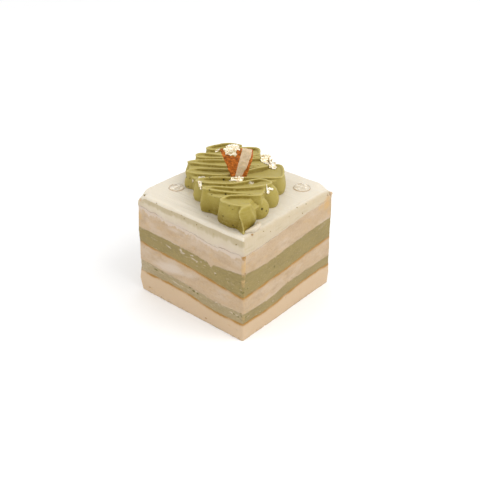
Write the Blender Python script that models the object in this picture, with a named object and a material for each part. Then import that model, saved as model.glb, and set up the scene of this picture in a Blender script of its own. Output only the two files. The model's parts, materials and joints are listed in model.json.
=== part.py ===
# A cut square of layered matcha cake.
# Three sponge layers and two matcha cream layers stand under a white icing.
# A leaf of piped matcha cream lies across the icing from the back corner to the front corner.
# A nut shard stands in the cream, with gold leaf on it and around it.
# Metres, +Z up. The cake is centred on the origin and stands on z = 0.

import random
from math import cos, pi, radians, sin, sqrt

import bmesh
import bpy
from mathutils import Matrix, Vector, noise

MM = 0.001

# Block: half of the square's side, corner rounding and how far the cut faces wander
HALF = 30.0 * MM
CORNER_ROUND = 0.8 * MM
FACE_WANDER = 0.22 * MM
# How far the left and the right corner stand out of the square, in mm, at even heights from the
# foot up to the top, and how far along the faces that is felt
LEFT_CORNER_LINE = (-0.3, 0.6, -0.1, -0.1, -0.35, 0.05, -0.2, -0.5, -1.2)
RIGHT_CORNER_LINE = (0.1, 0.45, 0.1, 0.1, -0.15, -0.2, -0.3, -0.6, -1.0)
CORNER_LINE_REACH = 9.0 * MM
FACE_CELLS = 12
TOUCH_GAP = 0.3 * MM

# Layer edges in mm, at five even stations: along the front left face from its left corner,
# along the front right face from the shared front corner, then the hidden back corner
LOWER_CREAM_FOOT = ((10.0, 10.2, 9.8, 7.8, 8.3), (8.3, 7.8, 9.1, 10.1, 10.0), 9.6)
LOWER_CREAM_TOP = ((15.6, 14.7, 13.9, 12.6, 13.2), (13.2, 12.3, 14.2, 14.4, 14.4), 14.6)
UPPER_CREAM_FOOT = ((24.8, 24.2, 23.7, 22.1, 20.9), (20.9, 21.7, 22.5, 23.6, 24.3), 24.0)
UPPER_CREAM_TOP = ((32.0, 31.6, 31.2, 30.2, 31.8), (31.8, 30.9, 32.3, 33.6, 33.9), 32.4)
ICING_FOOT = ((42.3, 41.4, 40.5, 39.3, 40.2), (40.2, 40.6, 42.2, 43.5, 43.6), 42.0)

# Icing
ICING_TOP = 48.2 * MM
ICING_SPREAD = 0.25 * MM
ICING_EDGE_ROUND = 0.9 * MM
LEFT_CORNER_SAG = 2.4 * MM
LEFT_CORNER_REACH = 6.0 * MM
RIGHT_CORNER_SAG = 1.5 * MM
RIGHT_CORNER_REACH = 9.0 * MM
DROP_RADIUS = 3.5 * MM
DROP_HEIGHT = 1.1 * MM
DROP_SINK = 0.25 * MM
DROP_PLACES = ((-3.4, -25.2), (-0.2, 28.4))
ICING_CURL_PLACE = (32.9, 6.2)
ICING_CURL_SIZE = (8.4 * MM, 2.2 * MM, 1.3 * MM)
ICING_CURL_TURN = radians(98.0)

# Piped cream: the passes of the zigzag in mm, from the back corner to the front one.
# "ahead" runs toward the front corner and "across" to the right.
# Each row: ahead at the pass's first end, middle and last end, across at its two ends,
# crest height above the icing, backward slant of the wall below the crest, and the points
# that the turn after it goes through, as ahead and across.
PASSES = (
    (-31.0, -32.9, -31.3, 5.0, -8.0, 7.6, 0.5, ((-28.5, -11.3),)),
    (-26.4, -26.8, -27.7, -8.0, 9.2, 7.8, 0.5, ((-26.8, 12.0), (-20.6, 11.8))),
    (-19.0, -18.0, -22.1, 9.5, -13.2, 8.0, 0.8, ((-21.6, -15.9), (-18.9, -15.9))),
    (-17.6, -15.8, -17.0, -13.5, 12.6, 8.0, 0.8, ((-16.3, 15.4),)),
    (-15.5, -13.4, -14.6, 12.8, -16.8, 8.0, 1.0, ((-13.3, -20.0),)),
    (-11.5, -6.6, -7.6, -17.5, 14.1, 8.2, 1.0, ((-7.2, 17.4),)),
    (-6.6, -3.4, -5.4, 13.8, -17.5, 8.2, 1.5, ((-2.8, -20.5),)),
    (-0.3, 2.8, -3.8, -17.5, 9.6, 8.6, 1.5, ((-5.8, 19.3), (5.6, 19.0))),
    (7.3, 7.2, 6.0, 17.0, -13.7, 9.2, 1.6, ((9.2, -17.0),)),
    (12.4, 14.8, 10.6, -13.5, 9.0, 10.2, 1.6, ((14.3, 13.3),)),
    (18.0, 20.2, 17.6, 9.0, -11.0, 10.8, 0.8, ((19.2, -14.6),)),
    (20.9, 25.2, 26.4, -12.6, 6.4, 11.3, 1.6, ((27.0, 8.0),)),
    (28.0, 28.3, 28.0, 5.2, -4.9, 11.6, 3.6, ((30.4, -8.1),)),
    (33.6, 36.6, 36.4, -6.2, 1.4, 11.6, 3.4, ()),
)
PASS_STATION = 0.9 * MM
PASS_CROWN = 0.35
TURN_DIP = 0.1
TURN_WINDOW = 13.0 * MM
TURN_LENGTH = 4.0
WALL_FLARE = 1.3 * MM
LIP_HALF = 0.42 * MM
LIP_UNDERCUT = 0.15 * MM

# Bodies between the passes, in mm: the step below the crest behind, how much deeper the step and
# the hollow get with the gap, and how far the bodies reach into the creases between the lobes
STEP_BASE = 0.9
STEP_PER_GAP = 0.09
HOLLOW_PER_GAP = 0.035
CREASE_FILL = 1.6
OPEN_END_DROP = 3.2
OPEN_END_REACH = 0.24
BAND_ROWS = 26
BAND_CELLS = 5
PIPING_VOXEL = 0.38 * MM
PIPING_SMOOTHING = 5
PIPING_TRIANGLES = 6600

# Tail of the piping: its sharp lip from the top down to the icing, as ahead, across and height
# above the icing, then where its left and right sides stand at the foot and at the top
TAIL_LIP = ((36.8, 1.6, 11.7), (38.2, -0.8, 11.0), (39.3, -2.1, 9.6), (38.8, -1.6, 7.6),
            (38.4, -0.8, 5.6), (38.2, -0.3, 3.6), (38.4, 0.1, 1.8), (39.6, 0.0, 0.0))
TAIL_LEFT_FOOT = (33.6, -3.0)
TAIL_LEFT_TOP = (35.4, -1.4)
TAIL_RIGHT_FOOT = (28.0, 6.0)
TAIL_RIGHT_TOP = (35.9, 2.9)
TAIL_BACK = (27.0, 0.5)
TAIL_BACK_SHARE = 0.7
TAIL_SWELL = 1.0

# Rounded right sides of the last two wide lobes, where the cream rolls over its own foot, in mm:
# centre ahead, across and above the icing, and the three radii
SHOULDERS = (
    ((14.2, 11.0, 3.1), (4.3, 5.7, 6.6)),
    ((23.3, 4.7, 3.1), (4.6, 6.9, 6.2)),
)

# Nut shard, in mm: its outline where it enters the cream as ahead and across, and its top
# outline as ahead, across and height above the icing, both from the left corner round the front
NUT_FOOT = ((3.8, -2.5), (4.5, -0.8), (4.6, 2.2), (3.4, 4.4), (0.6, 3.2), (1.0, -2.0))
NUT_FOOT_LEVEL = 8.7
NUT_TOP = ((2.2, -7.1, 20.0), (4.9, 2.1, 21.1), (5.2, 5.8, 20.8), (3.2, 6.9, 19.8),
           (0.2, 5.2, 18.9), (-0.9, -4.8, 18.4))
NUT_ROOT_DEPTH = 3.4
NUT_ROOT_SHRINK = 0.25
NUT_ROOT_ROWS = 2
NUT_ROWS = 7
NUT_SIDE_CELLS = 3
NUT_ROUGHNESS = 0.22
NUT_SOCKET_GAP = 0.35
# Gold flakes on the nut: ahead, across, height above the icing, length, width and tilt
LEAF_ON_NUT = ((3.9, -1.6, 20.2, 6.4, 3.4, 24.0), (1.9, -7.0, 19.3, 3.0, 1.7, 40.0))

# Gold leaf: ahead, across, height above the icing, length, width and turn of each flake
LEAF_THICKNESS = 0.45 * MM
LEAF_ON_CREAM = (
    (3.2, -15.4, 9.1, 5.6, 2.6, -50.0),
    (9.2, -15.9, 9.6, 3.8, 2.2, -20.0),
    (0.8, -20.3, 6.6, 2.4, 1.3, 80.0),
    (10.6, -0.8, 10.0, 5.4, 2.2, 68.0),
    (-11.4, 14.4, 9.0, 5.8, 3.6, 40.0),
    (-4.8, 16.6, 8.9, 5.4, 2.8, -30.0),
    (19.6, 10.6, 10.4, 4.2, 2.2, 30.0),
)


def clear_scene():
    for old in list(bpy.data.objects):
        bpy.data.objects.remove(old, do_unlink=True)


def make_material(name, colour, roughness, metallic=0.0):
    material = bpy.data.materials.new(name)
    material.use_nodes = True
    shader = material.node_tree.nodes["Principled BSDF"]
    shader.inputs["Base Color"].default_value = (*colour, 1.0)
    shader.inputs["Roughness"].default_value = roughness
    shader.inputs["Metallic"].default_value = metallic
    material.diffuse_color = (*colour, 1.0)
    return material


def object_from_bmesh(name, bm, material=None, smooth=True):
    mesh = bpy.data.meshes.new(name)
    bmesh.ops.recalc_face_normals(bm, faces=bm.faces)
    bm.to_mesh(mesh)
    bm.free()
    piece = bpy.data.objects.new(name, mesh)
    bpy.context.scene.collection.objects.link(piece)
    if material:
        mesh.materials.append(material)
    if smooth:
        mesh.shade_smooth()
        mesh.set_sharp_from_angle(angle=radians(40.0))
    return piece


def apply_modifiers(piece):
    graph = bpy.context.evaluated_depsgraph_get()
    mesh = bpy.data.meshes.new_from_object(piece.evaluated_get(graph))
    old = piece.data
    piece.modifiers.clear()
    piece.data = mesh
    bpy.data.meshes.remove(old)


def from_leaf(ahead, across, z=0.0):
    """A point of the leaf's own directions, in mm, as a world position."""
    return Vector(((ahead + across) / sqrt(2.0) * MM, (across - ahead) / sqrt(2.0) * MM, z))


def through(values, t):
    """A smooth curve through evenly spaced values, with t from 0 to 1."""
    spans = len(values) - 1
    place = min(max(t, 0.0), 1.0) * spans
    first = min(int(place), spans - 1)
    f = place - first
    a = values[max(first - 1, 0)]
    b = values[first]
    c = values[first + 1]
    d = values[min(first + 2, spans)]
    return 0.5 * (2 * b + (c - a) * f + (2 * a - 5 * b + 4 * c - d) * f ** 2
                  + (3 * b - a - 3 * c + d) * f ** 3)


def soft_step(t):
    t = min(max(t, 0.0), 1.0)
    return t * t * (3.0 - 2.0 * t)


def layer_height(edges, x, y):
    """Height of a layer's edge surface, spanned between the four sides of the block."""
    left_face, right_face, back = edges
    u = (x / HALF + 1.0) / 2.0
    v = (y / HALF + 1.0) / 2.0
    near = through(left_face, u)
    right = through(right_face, v)
    far = back + (right_face[-1] - back) * u + 0.5 * sin(7.0 * u) * sin(pi * u)
    left = left_face[0] + (back - left_face[0]) * v + 0.5 * sin(8.0 * v) * sin(pi * v)
    corners = ((1 - u) * (1 - v) * left_face[0] + u * (1 - v) * left_face[-1]
               + (1 - u) * v * back + u * v * right_face[-1])
    return ((1 - v) * near + v * far + (1 - u) * left + u * right - corners) * MM


def icing_surface(x, y):
    """Height of the icing's top: flat, and sunk at the left and the right corner."""
    left = sqrt((x + HALF) ** 2 + (y + HALF) ** 2) / LEFT_CORNER_REACH
    right = sqrt((x - HALF) ** 2 + (y - HALF) ** 2) / RIGHT_CORNER_REACH
    return (ICING_TOP - LEFT_CORNER_SAG * soft_step(1.0 - left)
            - RIGHT_CORNER_SAG * soft_step(1.0 - right))


def square_outline(spread):
    """Stations round the square: even cells along each side, and a small round at each corner."""
    reach = HALF + spread
    outline = []
    sides = (((-1, -1), (1, 0)), ((1, -1), (0, 1)), ((1, 1), (-1, 0)), ((-1, 1), (0, -1)))
    for start, run in sides:
        for step in range(FACE_CELLS):
            along = max(2.0 * reach * step / FACE_CELLS, CORNER_ROUND)
            outline.append((start[0] * reach + run[0] * along, start[1] * reach + run[1] * along))
        along = 2.0 * reach - CORNER_ROUND
        outline.append((start[0] * reach + run[0] * along, start[1] * reach + run[1] * along))
    return outline


def corner_pull(x, y, z):
    """How far the left or the right corner stands out of the square at this height."""
    pull = 0.0
    for side, line in ((-1.0, LEFT_CORNER_LINE), (1.0, RIGHT_CORNER_LINE)):
        away = sqrt((x - side * HALF) ** 2 + (y - side * HALF) ** 2)
        pull += through(line, z / ICING_TOP) * MM * soft_step(1.0 - away / CORNER_LINE_REACH)
    return pull


def wandered(x, y, z, seed):
    """A point of a cut face, moved in or out as an uneven cut leaves it."""
    pull = noise.noise(Vector((x, y, z)) * 90.0 + Vector((seed, 0.0, 0.0))) * FACE_WANDER
    outward = Vector((x, y, 0.0)).normalized()
    return Vector((x, y, z)) + outward * (pull - FACE_WANDER + corner_pull(x, y, z))


def layer_solid(name, material, foot, top, spread, rows, seed):
    """A layer: walls of a few rows round the square, closed by a fan of rings above and below."""
    bm = bmesh.new()
    outline = square_outline(spread)
    rings = []
    for row in range(rows + 1):
        t = row / rows
        ring = []
        for x, y in outline:
            z = foot(x, y) * (1.0 - t) + top(x, y) * t
            moved = wandered(x, y, z, seed)
            if z < TOUCH_GAP:
                moved.z = 0.0
            ring.append(bm.verts.new(moved))
        rings.append(ring)
    for low, high in zip(rings, rings[1:]):
        bridge(bm, low, high)
    close_with_rings(bm, rings[0], foot, outline)
    close_with_rings(bm, rings[-1], top, outline)
    bmesh.ops.triangulate(bm, faces=bm.faces)
    return object_from_bmesh(name, bm, material)


def bridge(bm, low, high):
    count = len(low)
    for i in range(count):
        j = (i + 1) % count
        bm.faces.new((low[i], low[j], high[j], high[i]))


def close_with_rings(bm, ring, height, outline):
    """Fills inside a ring with smaller squares that follow the layer's surface."""
    last = ring
    for scale in (0.72, 0.36):
        inner = []
        for x, y in outline:
            inner.append(bm.verts.new((x * scale, y * scale, height(x * scale, y * scale))))
        bridge(bm, last, inner)
        last = inner
    centre = bm.verts.new((0.0, 0.0, height(0.0, 0.0)))
    for i in range(len(last)):
        bm.faces.new((last[i], last[(i + 1) % len(last)], centre))


def raised(edges, lift):
    return lambda x, y: layer_height(edges, x, y) + lift


def build_layers(sponge, cream):
    """The five layers below the icing. Each foot is lifted off the layer below by the gap."""
    flat = lambda x, y: 0.0
    stack = (
        ("sponge_bottom", sponge, flat, raised(LOWER_CREAM_FOOT, 0.0), 0.0),
        ("matcha_cream_lower", cream, raised(LOWER_CREAM_FOOT, TOUCH_GAP),
         raised(LOWER_CREAM_TOP, 0.0), -0.1 * MM),
        ("sponge_middle", sponge, raised(LOWER_CREAM_TOP, TOUCH_GAP),
         raised(UPPER_CREAM_FOOT, 0.0), 0.05 * MM),
        ("matcha_cream_upper", cream, raised(UPPER_CREAM_FOOT, TOUCH_GAP),
         raised(UPPER_CREAM_TOP, 0.0), -0.1 * MM),
        ("sponge_top", sponge, raised(UPPER_CREAM_TOP, TOUCH_GAP),
         raised(ICING_FOOT, 0.0), 0.0),
    )
    for seed, (name, material, foot, top, spread) in enumerate(stack):
        layer_solid(name, material, foot, top, spread, 3, 7.0 * seed)


def spherical_cap(radius, height, segments, rings):
    """A low dome whose rim lies a little below its place, closed underneath."""
    bm = bmesh.new()
    last = None
    for row in range(rings):
        t = row / rings * pi / 2.0
        z = (height + DROP_SINK) * sin(t) - DROP_SINK
        ring = []
        for i in range(segments):
            a = 2.0 * pi * i / segments
            ring.append(bm.verts.new((radius * cos(t) * cos(a), radius * cos(t) * sin(a), z)))
        if last:
            bridge(bm, last, ring)
        else:
            bm.faces.new(list(reversed(ring)))
        last = ring
    tip = bm.verts.new((0.0, 0.0, height))
    for i in range(segments):
        bm.faces.new((last[i], last[(i + 1) % segments], tip))
    return bm


def icing_curl(grow=0.0):
    """A thin flake of icing pushed up beside the tail of the piping."""
    length, width, height = (size + 2.0 * grow for size in ICING_CURL_SIZE)
    bm = bmesh.new()
    rings = []
    for row in range(6):
        t = row / 5.0
        swell = sin(pi * (0.12 + 0.76 * t))
        ring = []
        for side, lift in ((-0.5, -0.2), (0.5, -0.2), (0.62, 0.45), (0.1, 1.0)):
            ring.append(bm.verts.new(((t - 0.5) * length, side * width * swell,
                                      lift * height * swell)))
        rings.append(ring)
    for low, high in zip(rings, rings[1:]):
        bridge(bm, low, high)
    bm.faces.new(list(reversed(rings[0])))
    bm.faces.new(rings[-1])
    return bm


def placed_curl(name, grow):
    curl = object_from_bmesh(name, icing_curl(grow))
    curl.location = from_leaf(*ICING_CURL_PLACE, ICING_TOP)
    curl.rotation_euler = (0.0, 0.0, ICING_CURL_TURN)
    return curl


def join_all(target, pieces, solver="EXACT"):
    """One Boolean union of a collection onto a piece. The collection's objects go afterwards."""
    group = bpy.data.collections.new(target.name + "_added")
    for piece in pieces:
        group.objects.link(piece)
    union = target.modifiers.new("union", "BOOLEAN")
    union.operation = "UNION"
    union.operand_type = "COLLECTION"
    union.collection = group
    union.solver = solver
    apply_modifiers(target)
    for piece in pieces:
        bpy.data.objects.remove(piece, do_unlink=True)
    bpy.data.collections.remove(group)


def build_icing(material):
    """White icing: rounded upper rim, two sunk corners, two glaze drops and a pushed-up curl."""
    bm = bmesh.new()
    outline = square_outline(ICING_SPREAD)
    foot = raised(ICING_FOOT, TOUCH_GAP)
    rows = ((0.0, 0.0, 0.0), (0.5, 0.0, 0.0), (1.0, 1.0, 0.0), (1.0, 0.35, 0.35), (1.0, 0.0, 1.0))
    rings = []
    for climb, below, inset in rows:
        ring = []
        for x, y in outline:
            shrink = 1.0 - inset * ICING_EDGE_ROUND / HALF
            top = icing_surface(x, y) - below * ICING_EDGE_ROUND
            z = foot(x, y) * (1.0 - climb) + top * climb
            spot = wandered(x, y, z, 50.0)
            ring.append(bm.verts.new((spot.x * shrink, spot.y * shrink, z)))
        rings.append(ring)
    for low, high in zip(rings, rings[1:]):
        bridge(bm, low, high)
    close_with_rings(bm, rings[0], foot, outline)
    close_with_rings(bm, rings[-1], icing_surface, outline)
    bmesh.ops.triangulate(bm, faces=bm.faces)
    icing = object_from_bmesh("top_icing", bm, material)
    extras = []
    for number, (ahead, across) in enumerate(DROP_PLACES):
        drop = object_from_bmesh("drop_%d" % number,
                                 spherical_cap(DROP_RADIUS, DROP_HEIGHT, 16, 3))
        drop.location = from_leaf(ahead, across, ICING_TOP)
        extras.append(drop)
    extras.append(placed_curl("curl", 0.0))
    join_all(icing, extras)


def crest_guides():
    """The zigzag's guide points: both ends and the middle of each pass, and each turn.

    Also returns, for each pass, which guide is its first end and which its last.
    """
    guides = []
    ends = []
    for number, (first, middle, last, start, end, height, slant, turn) in enumerate(PASSES):
        ends.append((len(guides), len(guides) + 2))
        guides.append((first, start, height, slant))
        guides.append((middle, (start + end) / 2.0, height + PASS_CROWN, slant))
        guides.append((last, end, height, slant))
        for ahead, across in turn:
            following = PASSES[number + 1]
            rise = (height + following[5]) / 2.0 - TURN_DIP
            guides.append((ahead, across, rise, (slant + following[6]) / 2.0))
    return [Vector(guide) for guide in guides], ends


def smooth_path(guides, spacing):
    """A centripetal curve through the guides, read at even steps, with each guide's index."""
    path = []
    marks = []
    for i in range(len(guides) - 1):
        p0 = guides[max(i - 1, 0)]
        p1 = guides[i]
        p2 = guides[i + 1]
        p3 = guides[min(i + 2, len(guides) - 1)]
        k0 = max((p1 - p0).length, 0.01) ** 0.5
        k1 = (p2 - p1).length ** 0.5
        k2 = max((p3 - p2).length, 0.01) ** 0.5
        away = (p2 - p1) if i == 0 else (p2 - p1) - (p2 - p0) * k1 / (k0 + k1) + (p1 - p0) * k1 / k0
        home = (p3 - p2) * k1 / k2 - (p3 - p1) * k1 / (k1 + k2) + (p2 - p1)
        marks.append(len(path))
        steps = max(2, int((p2 - p1).length * MM / spacing))
        for step in range(steps):
            t = step / steps
            path.append(p1 * (2 * t ** 3 - 3 * t ** 2 + 1) + away * (t ** 3 - 2 * t ** 2 + t)
                        + p2 * (3 * t ** 2 - 2 * t ** 3) + home * (t ** 3 - t ** 2))
    marks.append(len(path))
    path.append(guides[-1].copy())
    return path, marks


def half_profile(steep, depth):
    """One side of the ribbon's section, as outward distance and depth below the crest.

    A steep side drops under the lip and swells toward its foot. The other side is a plain back.
    """
    wall = ((LIP_HALF, 0.12 * MM), (LIP_UNDERCUT, 1.1 * MM), (0.5 * MM, 2.8 * MM),
            (WALL_FLARE * 0.75, depth * 0.5), (WALL_FLARE, depth * 0.75), (WALL_FLARE * 0.7, depth))
    back = ((LIP_HALF, 0.1 * MM), (LIP_HALF * 1.8, 0.7 * MM), (LIP_HALF * 2.6, 2.0 * MM),
            (LIP_HALF * 2.8, depth * 0.5), (LIP_HALF * 2.8, depth * 0.75), (LIP_HALF * 2.8, depth))
    return [(w[0] * steep + s[0] * (1.0 - steep), w[1] * steep + s[1] * (1.0 - steep))
            for w, s in zip(wall, back)]


def ribbon_bmesh(path):
    """The crest of the piped ribbon as a wall with a lip, run along the zigzag."""
    bm = bmesh.new()
    rings = []
    window = int(TURN_WINDOW / PASS_STATION)
    for i, here in enumerate(path):
        run = path[min(i + 1, len(path) - 1)] - path[max(i - 1, 0)]
        heading = Vector((run.x, run.y)).normalized()
        left = Vector((-heading.y, heading.x))
        near = [p.y for p in path[max(i - window, 0):i + window + 1]]
        aside = 0.0
        if here.y < 0.0:
            aside = -soft_step(1.0 - (here.y - min(near)) / TURN_LENGTH)
        else:
            aside = soft_step(1.0 - (max(near) - here.y) / TURN_LENGTH)
        front = Vector((1.0 - abs(aside), aside)).normalized()
        lean = max(-1.0, min(1.0, 1.4 * left.dot(front)))
        depth = here.z * MM
        ring = [(0.0, 0.0)]
        ring += half_profile(0.5 + 0.5 * lean, depth)
        ring += [(-d, h) for d, h in reversed(half_profile(0.5 - 0.5 * lean, depth))]
        verts = []
        for outward, down in ring:
            shear = here.w * (down / depth) ** 1.2
            ahead = here.x + left.x * outward / MM - shear
            across = here.y + left.y * outward / MM
            verts.append(bm.verts.new(from_leaf(ahead, across, ICING_TOP + depth - down)))
        rings.append(verts)
    for low, high in zip(rings, rings[1:]):
        bridge(bm, low, high)
    bm.faces.new(list(reversed(rings[0])))
    bm.faces.new(rings[-1])
    return bm


def band_bmesh(path, first, turn, last, drop):
    """The body between two passes that one turn joins.

    Its top starts a step below the crest behind it and rises to the crest in front. At an end
    that no turn closes, it drops and rolls over.
    """
    bm = bmesh.new()
    tops = []
    feet = []
    for n in range(BAND_ROWS + 1):
        u = 0.985 * n / BAND_ROWS
        behind = path_point(path, first + (turn - first) * u)
        ahead = path_point(path, last + (turn - last) * u)
        gap = (ahead - behind).length
        closing = soft_step((u - 0.72) / 0.28)
        step = (STEP_BASE + STEP_PER_GAP * gap) * (1.0 - 0.75 * closing)
        hollow = HOLLOW_PER_GAP * gap * (0.4 + 0.6 * soft_step((u - 0.4) / 0.4))
        low = behind.z - step
        high = ahead.z - 0.3
        row_top = []
        row_foot = []
        for m in range(BAND_CELLS + 1):
            s = m / BAND_CELLS
            place = behind.lerp(ahead, s)
            z = low + (high - low) * s ** 1.2 - hollow * sin(pi * s)
            z -= drop * soft_step(1.0 - u / OPEN_END_REACH)
            row_top.append(bm.verts.new(from_leaf(place.x, place.y, ICING_TOP + z * MM)))
            row_foot.append(bm.verts.new(from_leaf(place.x - place.w, place.y, ICING_TOP)))
        tops.append(row_top)
        feet.append(row_foot)
    for n in range(BAND_ROWS):
        for m in range(BAND_CELLS):
            bm.faces.new((tops[n][m], tops[n][m + 1], tops[n + 1][m + 1], tops[n + 1][m]))
            bm.faces.new((feet[n][m], feet[n + 1][m], feet[n + 1][m + 1], feet[n][m + 1]))
        for m in (0, BAND_CELLS):
            bm.faces.new((tops[n][m], tops[n + 1][m], feet[n + 1][m], feet[n][m]))
    for n in (0, BAND_ROWS):
        for m in range(BAND_CELLS):
            bm.faces.new((tops[n][m], tops[n][m + 1], feet[n][m + 1], feet[n][m]))
    return bm


def path_point(path, place):
    low = min(max(int(place), 0), len(path) - 2)
    return path[low].lerp(path[low + 1], min(max(place - low, 0.0), 1.0))


def zigzag_meshes():
    """The ribbon, and a body between each two passes."""
    guides, ends = crest_guides()
    path, marks = smooth_path(guides, PASS_STATION)
    parts = [ribbon_bmesh(path)]
    for number in range(len(PASSES) - 1):
        first = marks[ends[number][0]]
        turn = (marks[ends[number][1]] + marks[ends[number + 1][0]]) / 2.0
        last = marks[ends[number + 1][1]]
        spread = CREASE_FILL / (PASS_STATION / MM)
        drop = OPEN_END_DROP if number == len(PASSES) - 2 else 0.0
        parts.append(band_bmesh(path, first - spread, turn, last + spread, drop))
    return parts


def tail_bmesh():
    """The fold that ends the piping: a sharp lip in front, run down to the icing."""
    bm = bmesh.new()
    rings = []
    top = TAIL_LIP[0][2]
    for ahead, across, height in TAIL_LIP:
        t = height / top
        right = (TAIL_RIGHT_FOOT[0] * (1 - t) + TAIL_RIGHT_TOP[0] * t,
                 TAIL_RIGHT_FOOT[1] * (1 - t) + TAIL_RIGHT_TOP[1] * t + TAIL_SWELL * sin(pi * t))
        left = (TAIL_LEFT_FOOT[0] * (1 - t) + TAIL_LEFT_TOP[0] * t,
                TAIL_LEFT_FOOT[1] * (1 - t) + TAIL_LEFT_TOP[1] * t)
        bulge = 0.5 + 0.9 * sin(pi * t)
        ring = [(ahead, across),
                ((ahead * 2 + right[0]) / 3 + bulge * 0.4, (across * 2 + right[1]) / 3 + bulge * 0.7),
                ((ahead + right[0] * 2) / 3 + bulge * 0.5, (across + right[1] * 2) / 3 + bulge),
                right,
                (TAIL_BACK[0], right[1]),
                (TAIL_BACK[0], left[1]),
                left,
                ((ahead + left[0]) / 2, (across + left[1]) / 2 + 0.2)]
        ring_verts = []
        for place, (p, q) in enumerate(ring):
            share = TAIL_BACK_SHARE if place in (4, 5) else 1.0
            ring_verts.append(bm.verts.new(from_leaf(p, q, ICING_TOP + height * share * MM)))
        rings.append(ring_verts)
    for low, high in zip(rings, rings[1:]):
        bridge(bm, low, high)
    bm.faces.new(list(reversed(rings[0])))
    bm.faces.new(rings[-1])
    return bm


def shoulder_bmesh(centre, radii):
    """The rounded right side of a wide lobe."""
    bm = bmesh.new()
    bmesh.ops.create_uvsphere(bm, u_segments=32, v_segments=20, radius=MM)
    ahead, across, height = centre
    place = Matrix.Translation(from_leaf(ahead, across, ICING_TOP + height * MM))
    shape = Matrix.Diagonal(radii + (1.0,))
    bmesh.ops.transform(bm, matrix=place @ Matrix.Rotation(radians(-45.0), 4, "Z") @ shape, verts=bm.verts)
    return bm


def gold_flake(length, width, seed):
    """A crumpled flake of leaf with a ragged outline, thick enough to be a solid."""
    draw = random.Random(seed)
    bm = bmesh.new()
    count = 9
    rim = []
    for i in range(count):
        a = 2.0 * pi * i / count
        r = draw.uniform(0.72, 1.0)
        rim.append((cos(a) * r * length / 2.0, sin(a) * r * width / 2.0,
                    draw.uniform(-0.35, 0.35) * MM))
    low = [bm.verts.new((x, y, z)) for x, y, z in rim]
    high = [bm.verts.new((x * 0.94, y * 0.94, z + LEAF_THICKNESS)) for x, y, z in rim]
    under = bm.verts.new((0.0, 0.0, -0.1 * MM))
    over = bm.verts.new((0.0, 0.0, LEAF_THICKNESS + 0.25 * MM))
    bridge(bm, low, high)
    for i in range(count):
        j = (i + 1) % count
        bm.faces.new((low[j], low[i], under))
        bm.faces.new((high[i], high[j], over))
    return bm


def cut_by(target, cutter, solver="EXACT"):
    cutter.hide_render = True
    cutter.display_type = "WIRE"
    cut = target.modifiers.new("cut", "BOOLEAN")
    cut.operation = "DIFFERENCE"
    cut.object = cutter
    cut.solver = solver
    apply_modifiers(target)
    bpy.data.objects.remove(cutter, do_unlink=True)


def keep_largest(piece):
    """Drops loose scraps, so that one body is left."""
    bm = bmesh.new()
    bm.from_mesh(piece.data)
    left = set(bm.verts)
    groups = []
    while left:
        stack = [left.pop()]
        group = [stack[0]]
        while stack:
            for edge in stack.pop().link_edges:
                for vert in edge.verts:
                    if vert in left:
                        left.remove(vert)
                        stack.append(vert)
                        group.append(vert)
        groups.append(group)
    groups.sort(key=len)
    scrap = [vert for group in groups[:-1] for vert in group]
    bmesh.ops.delete(bm, geom=scrap, context="VERTS")
    bm.to_mesh(piece.data)
    bm.free()


def nut_ring(t, grow):
    """The shard's outline at a share of its height: 0 where it enters the cream, 1 at the top."""
    corners = []
    for (foot_ahead, foot_across), (top_ahead, top_across, top_height) in zip(NUT_FOOT, NUT_TOP):
        foot = Vector((foot_ahead, foot_across, NUT_FOOT_LEVEL))
        corners.append(foot.lerp(Vector((top_ahead, top_across, top_height)), max(t, 0.0)))
    centre = sum(corners, Vector()) / len(corners)
    if t < 0.0:
        sunk = Vector((0.0, 0.0, NUT_ROOT_DEPTH * t))
        corners = [corner.lerp(centre, NUT_ROOT_SHRINK * -t) + sunk for corner in corners]
    ring = []
    for corner, following in zip(corners, corners[1:] + corners[:1]):
        for cell in range(NUT_SIDE_CELLS):
            spot = corner.lerp(following, cell / NUT_SIDE_CELLS)
            out = Vector((spot.x - centre.x, spot.y - centre.y, 0.0)).normalized()
            rough = noise.noise(spot * 0.42) * NUT_ROUGHNESS
            ring.append(spot + out * (rough + grow))
    return ring


def nut_bmesh(grow):
    """The nut shard: a wedge that widens upward from its root in the cream, with uneven faces."""
    bm = bmesh.new()
    steps = [-1.0 + row / NUT_ROOT_ROWS for row in range(NUT_ROOT_ROWS)]
    steps += [row / NUT_ROWS for row in range(NUT_ROWS + 1)]
    rings = []
    for t in steps:
        lift = grow if t == steps[-1] else -grow if t == steps[0] else 0.0
        ring = nut_ring(t, grow)
        rings.append([bm.verts.new(from_leaf(p.x, p.y, ICING_TOP + (p.z + lift) * MM)) for p in ring])
    for low, high in zip(rings, rings[1:]):
        bridge(bm, low, high)
    bm.faces.new(list(reversed(rings[0])))
    bm.faces.new(rings[-1])
    bmesh.ops.recalc_face_normals(bm, faces=bm.faces)
    bmesh.ops.triangulate(bm, faces=bm.faces)
    return bm


def build_nut(material):
    """The shard with its large gold flake and a small one at its upper left corner."""
    nut = object_from_bmesh("nut_shard", nut_bmesh(0.0), material, smooth=False)
    flakes = []
    for number, (ahead, across, height, length, width, tilt) in enumerate(LEAF_ON_NUT):
        flake = object_from_bmesh("leaf_%d" % number, gold_flake(length * MM, width * MM, 40 + number))
        flake.data.transform(Matrix.Rotation(radians(tilt), 4, "X"))
        flake.location = from_leaf(ahead, across, ICING_TOP + height * MM)
        flake.rotation_euler = (0.0, 0.0, radians(45.0))
        flakes.append(flake)
    join_all(nut, flakes)
    keep_largest(nut)


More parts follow.
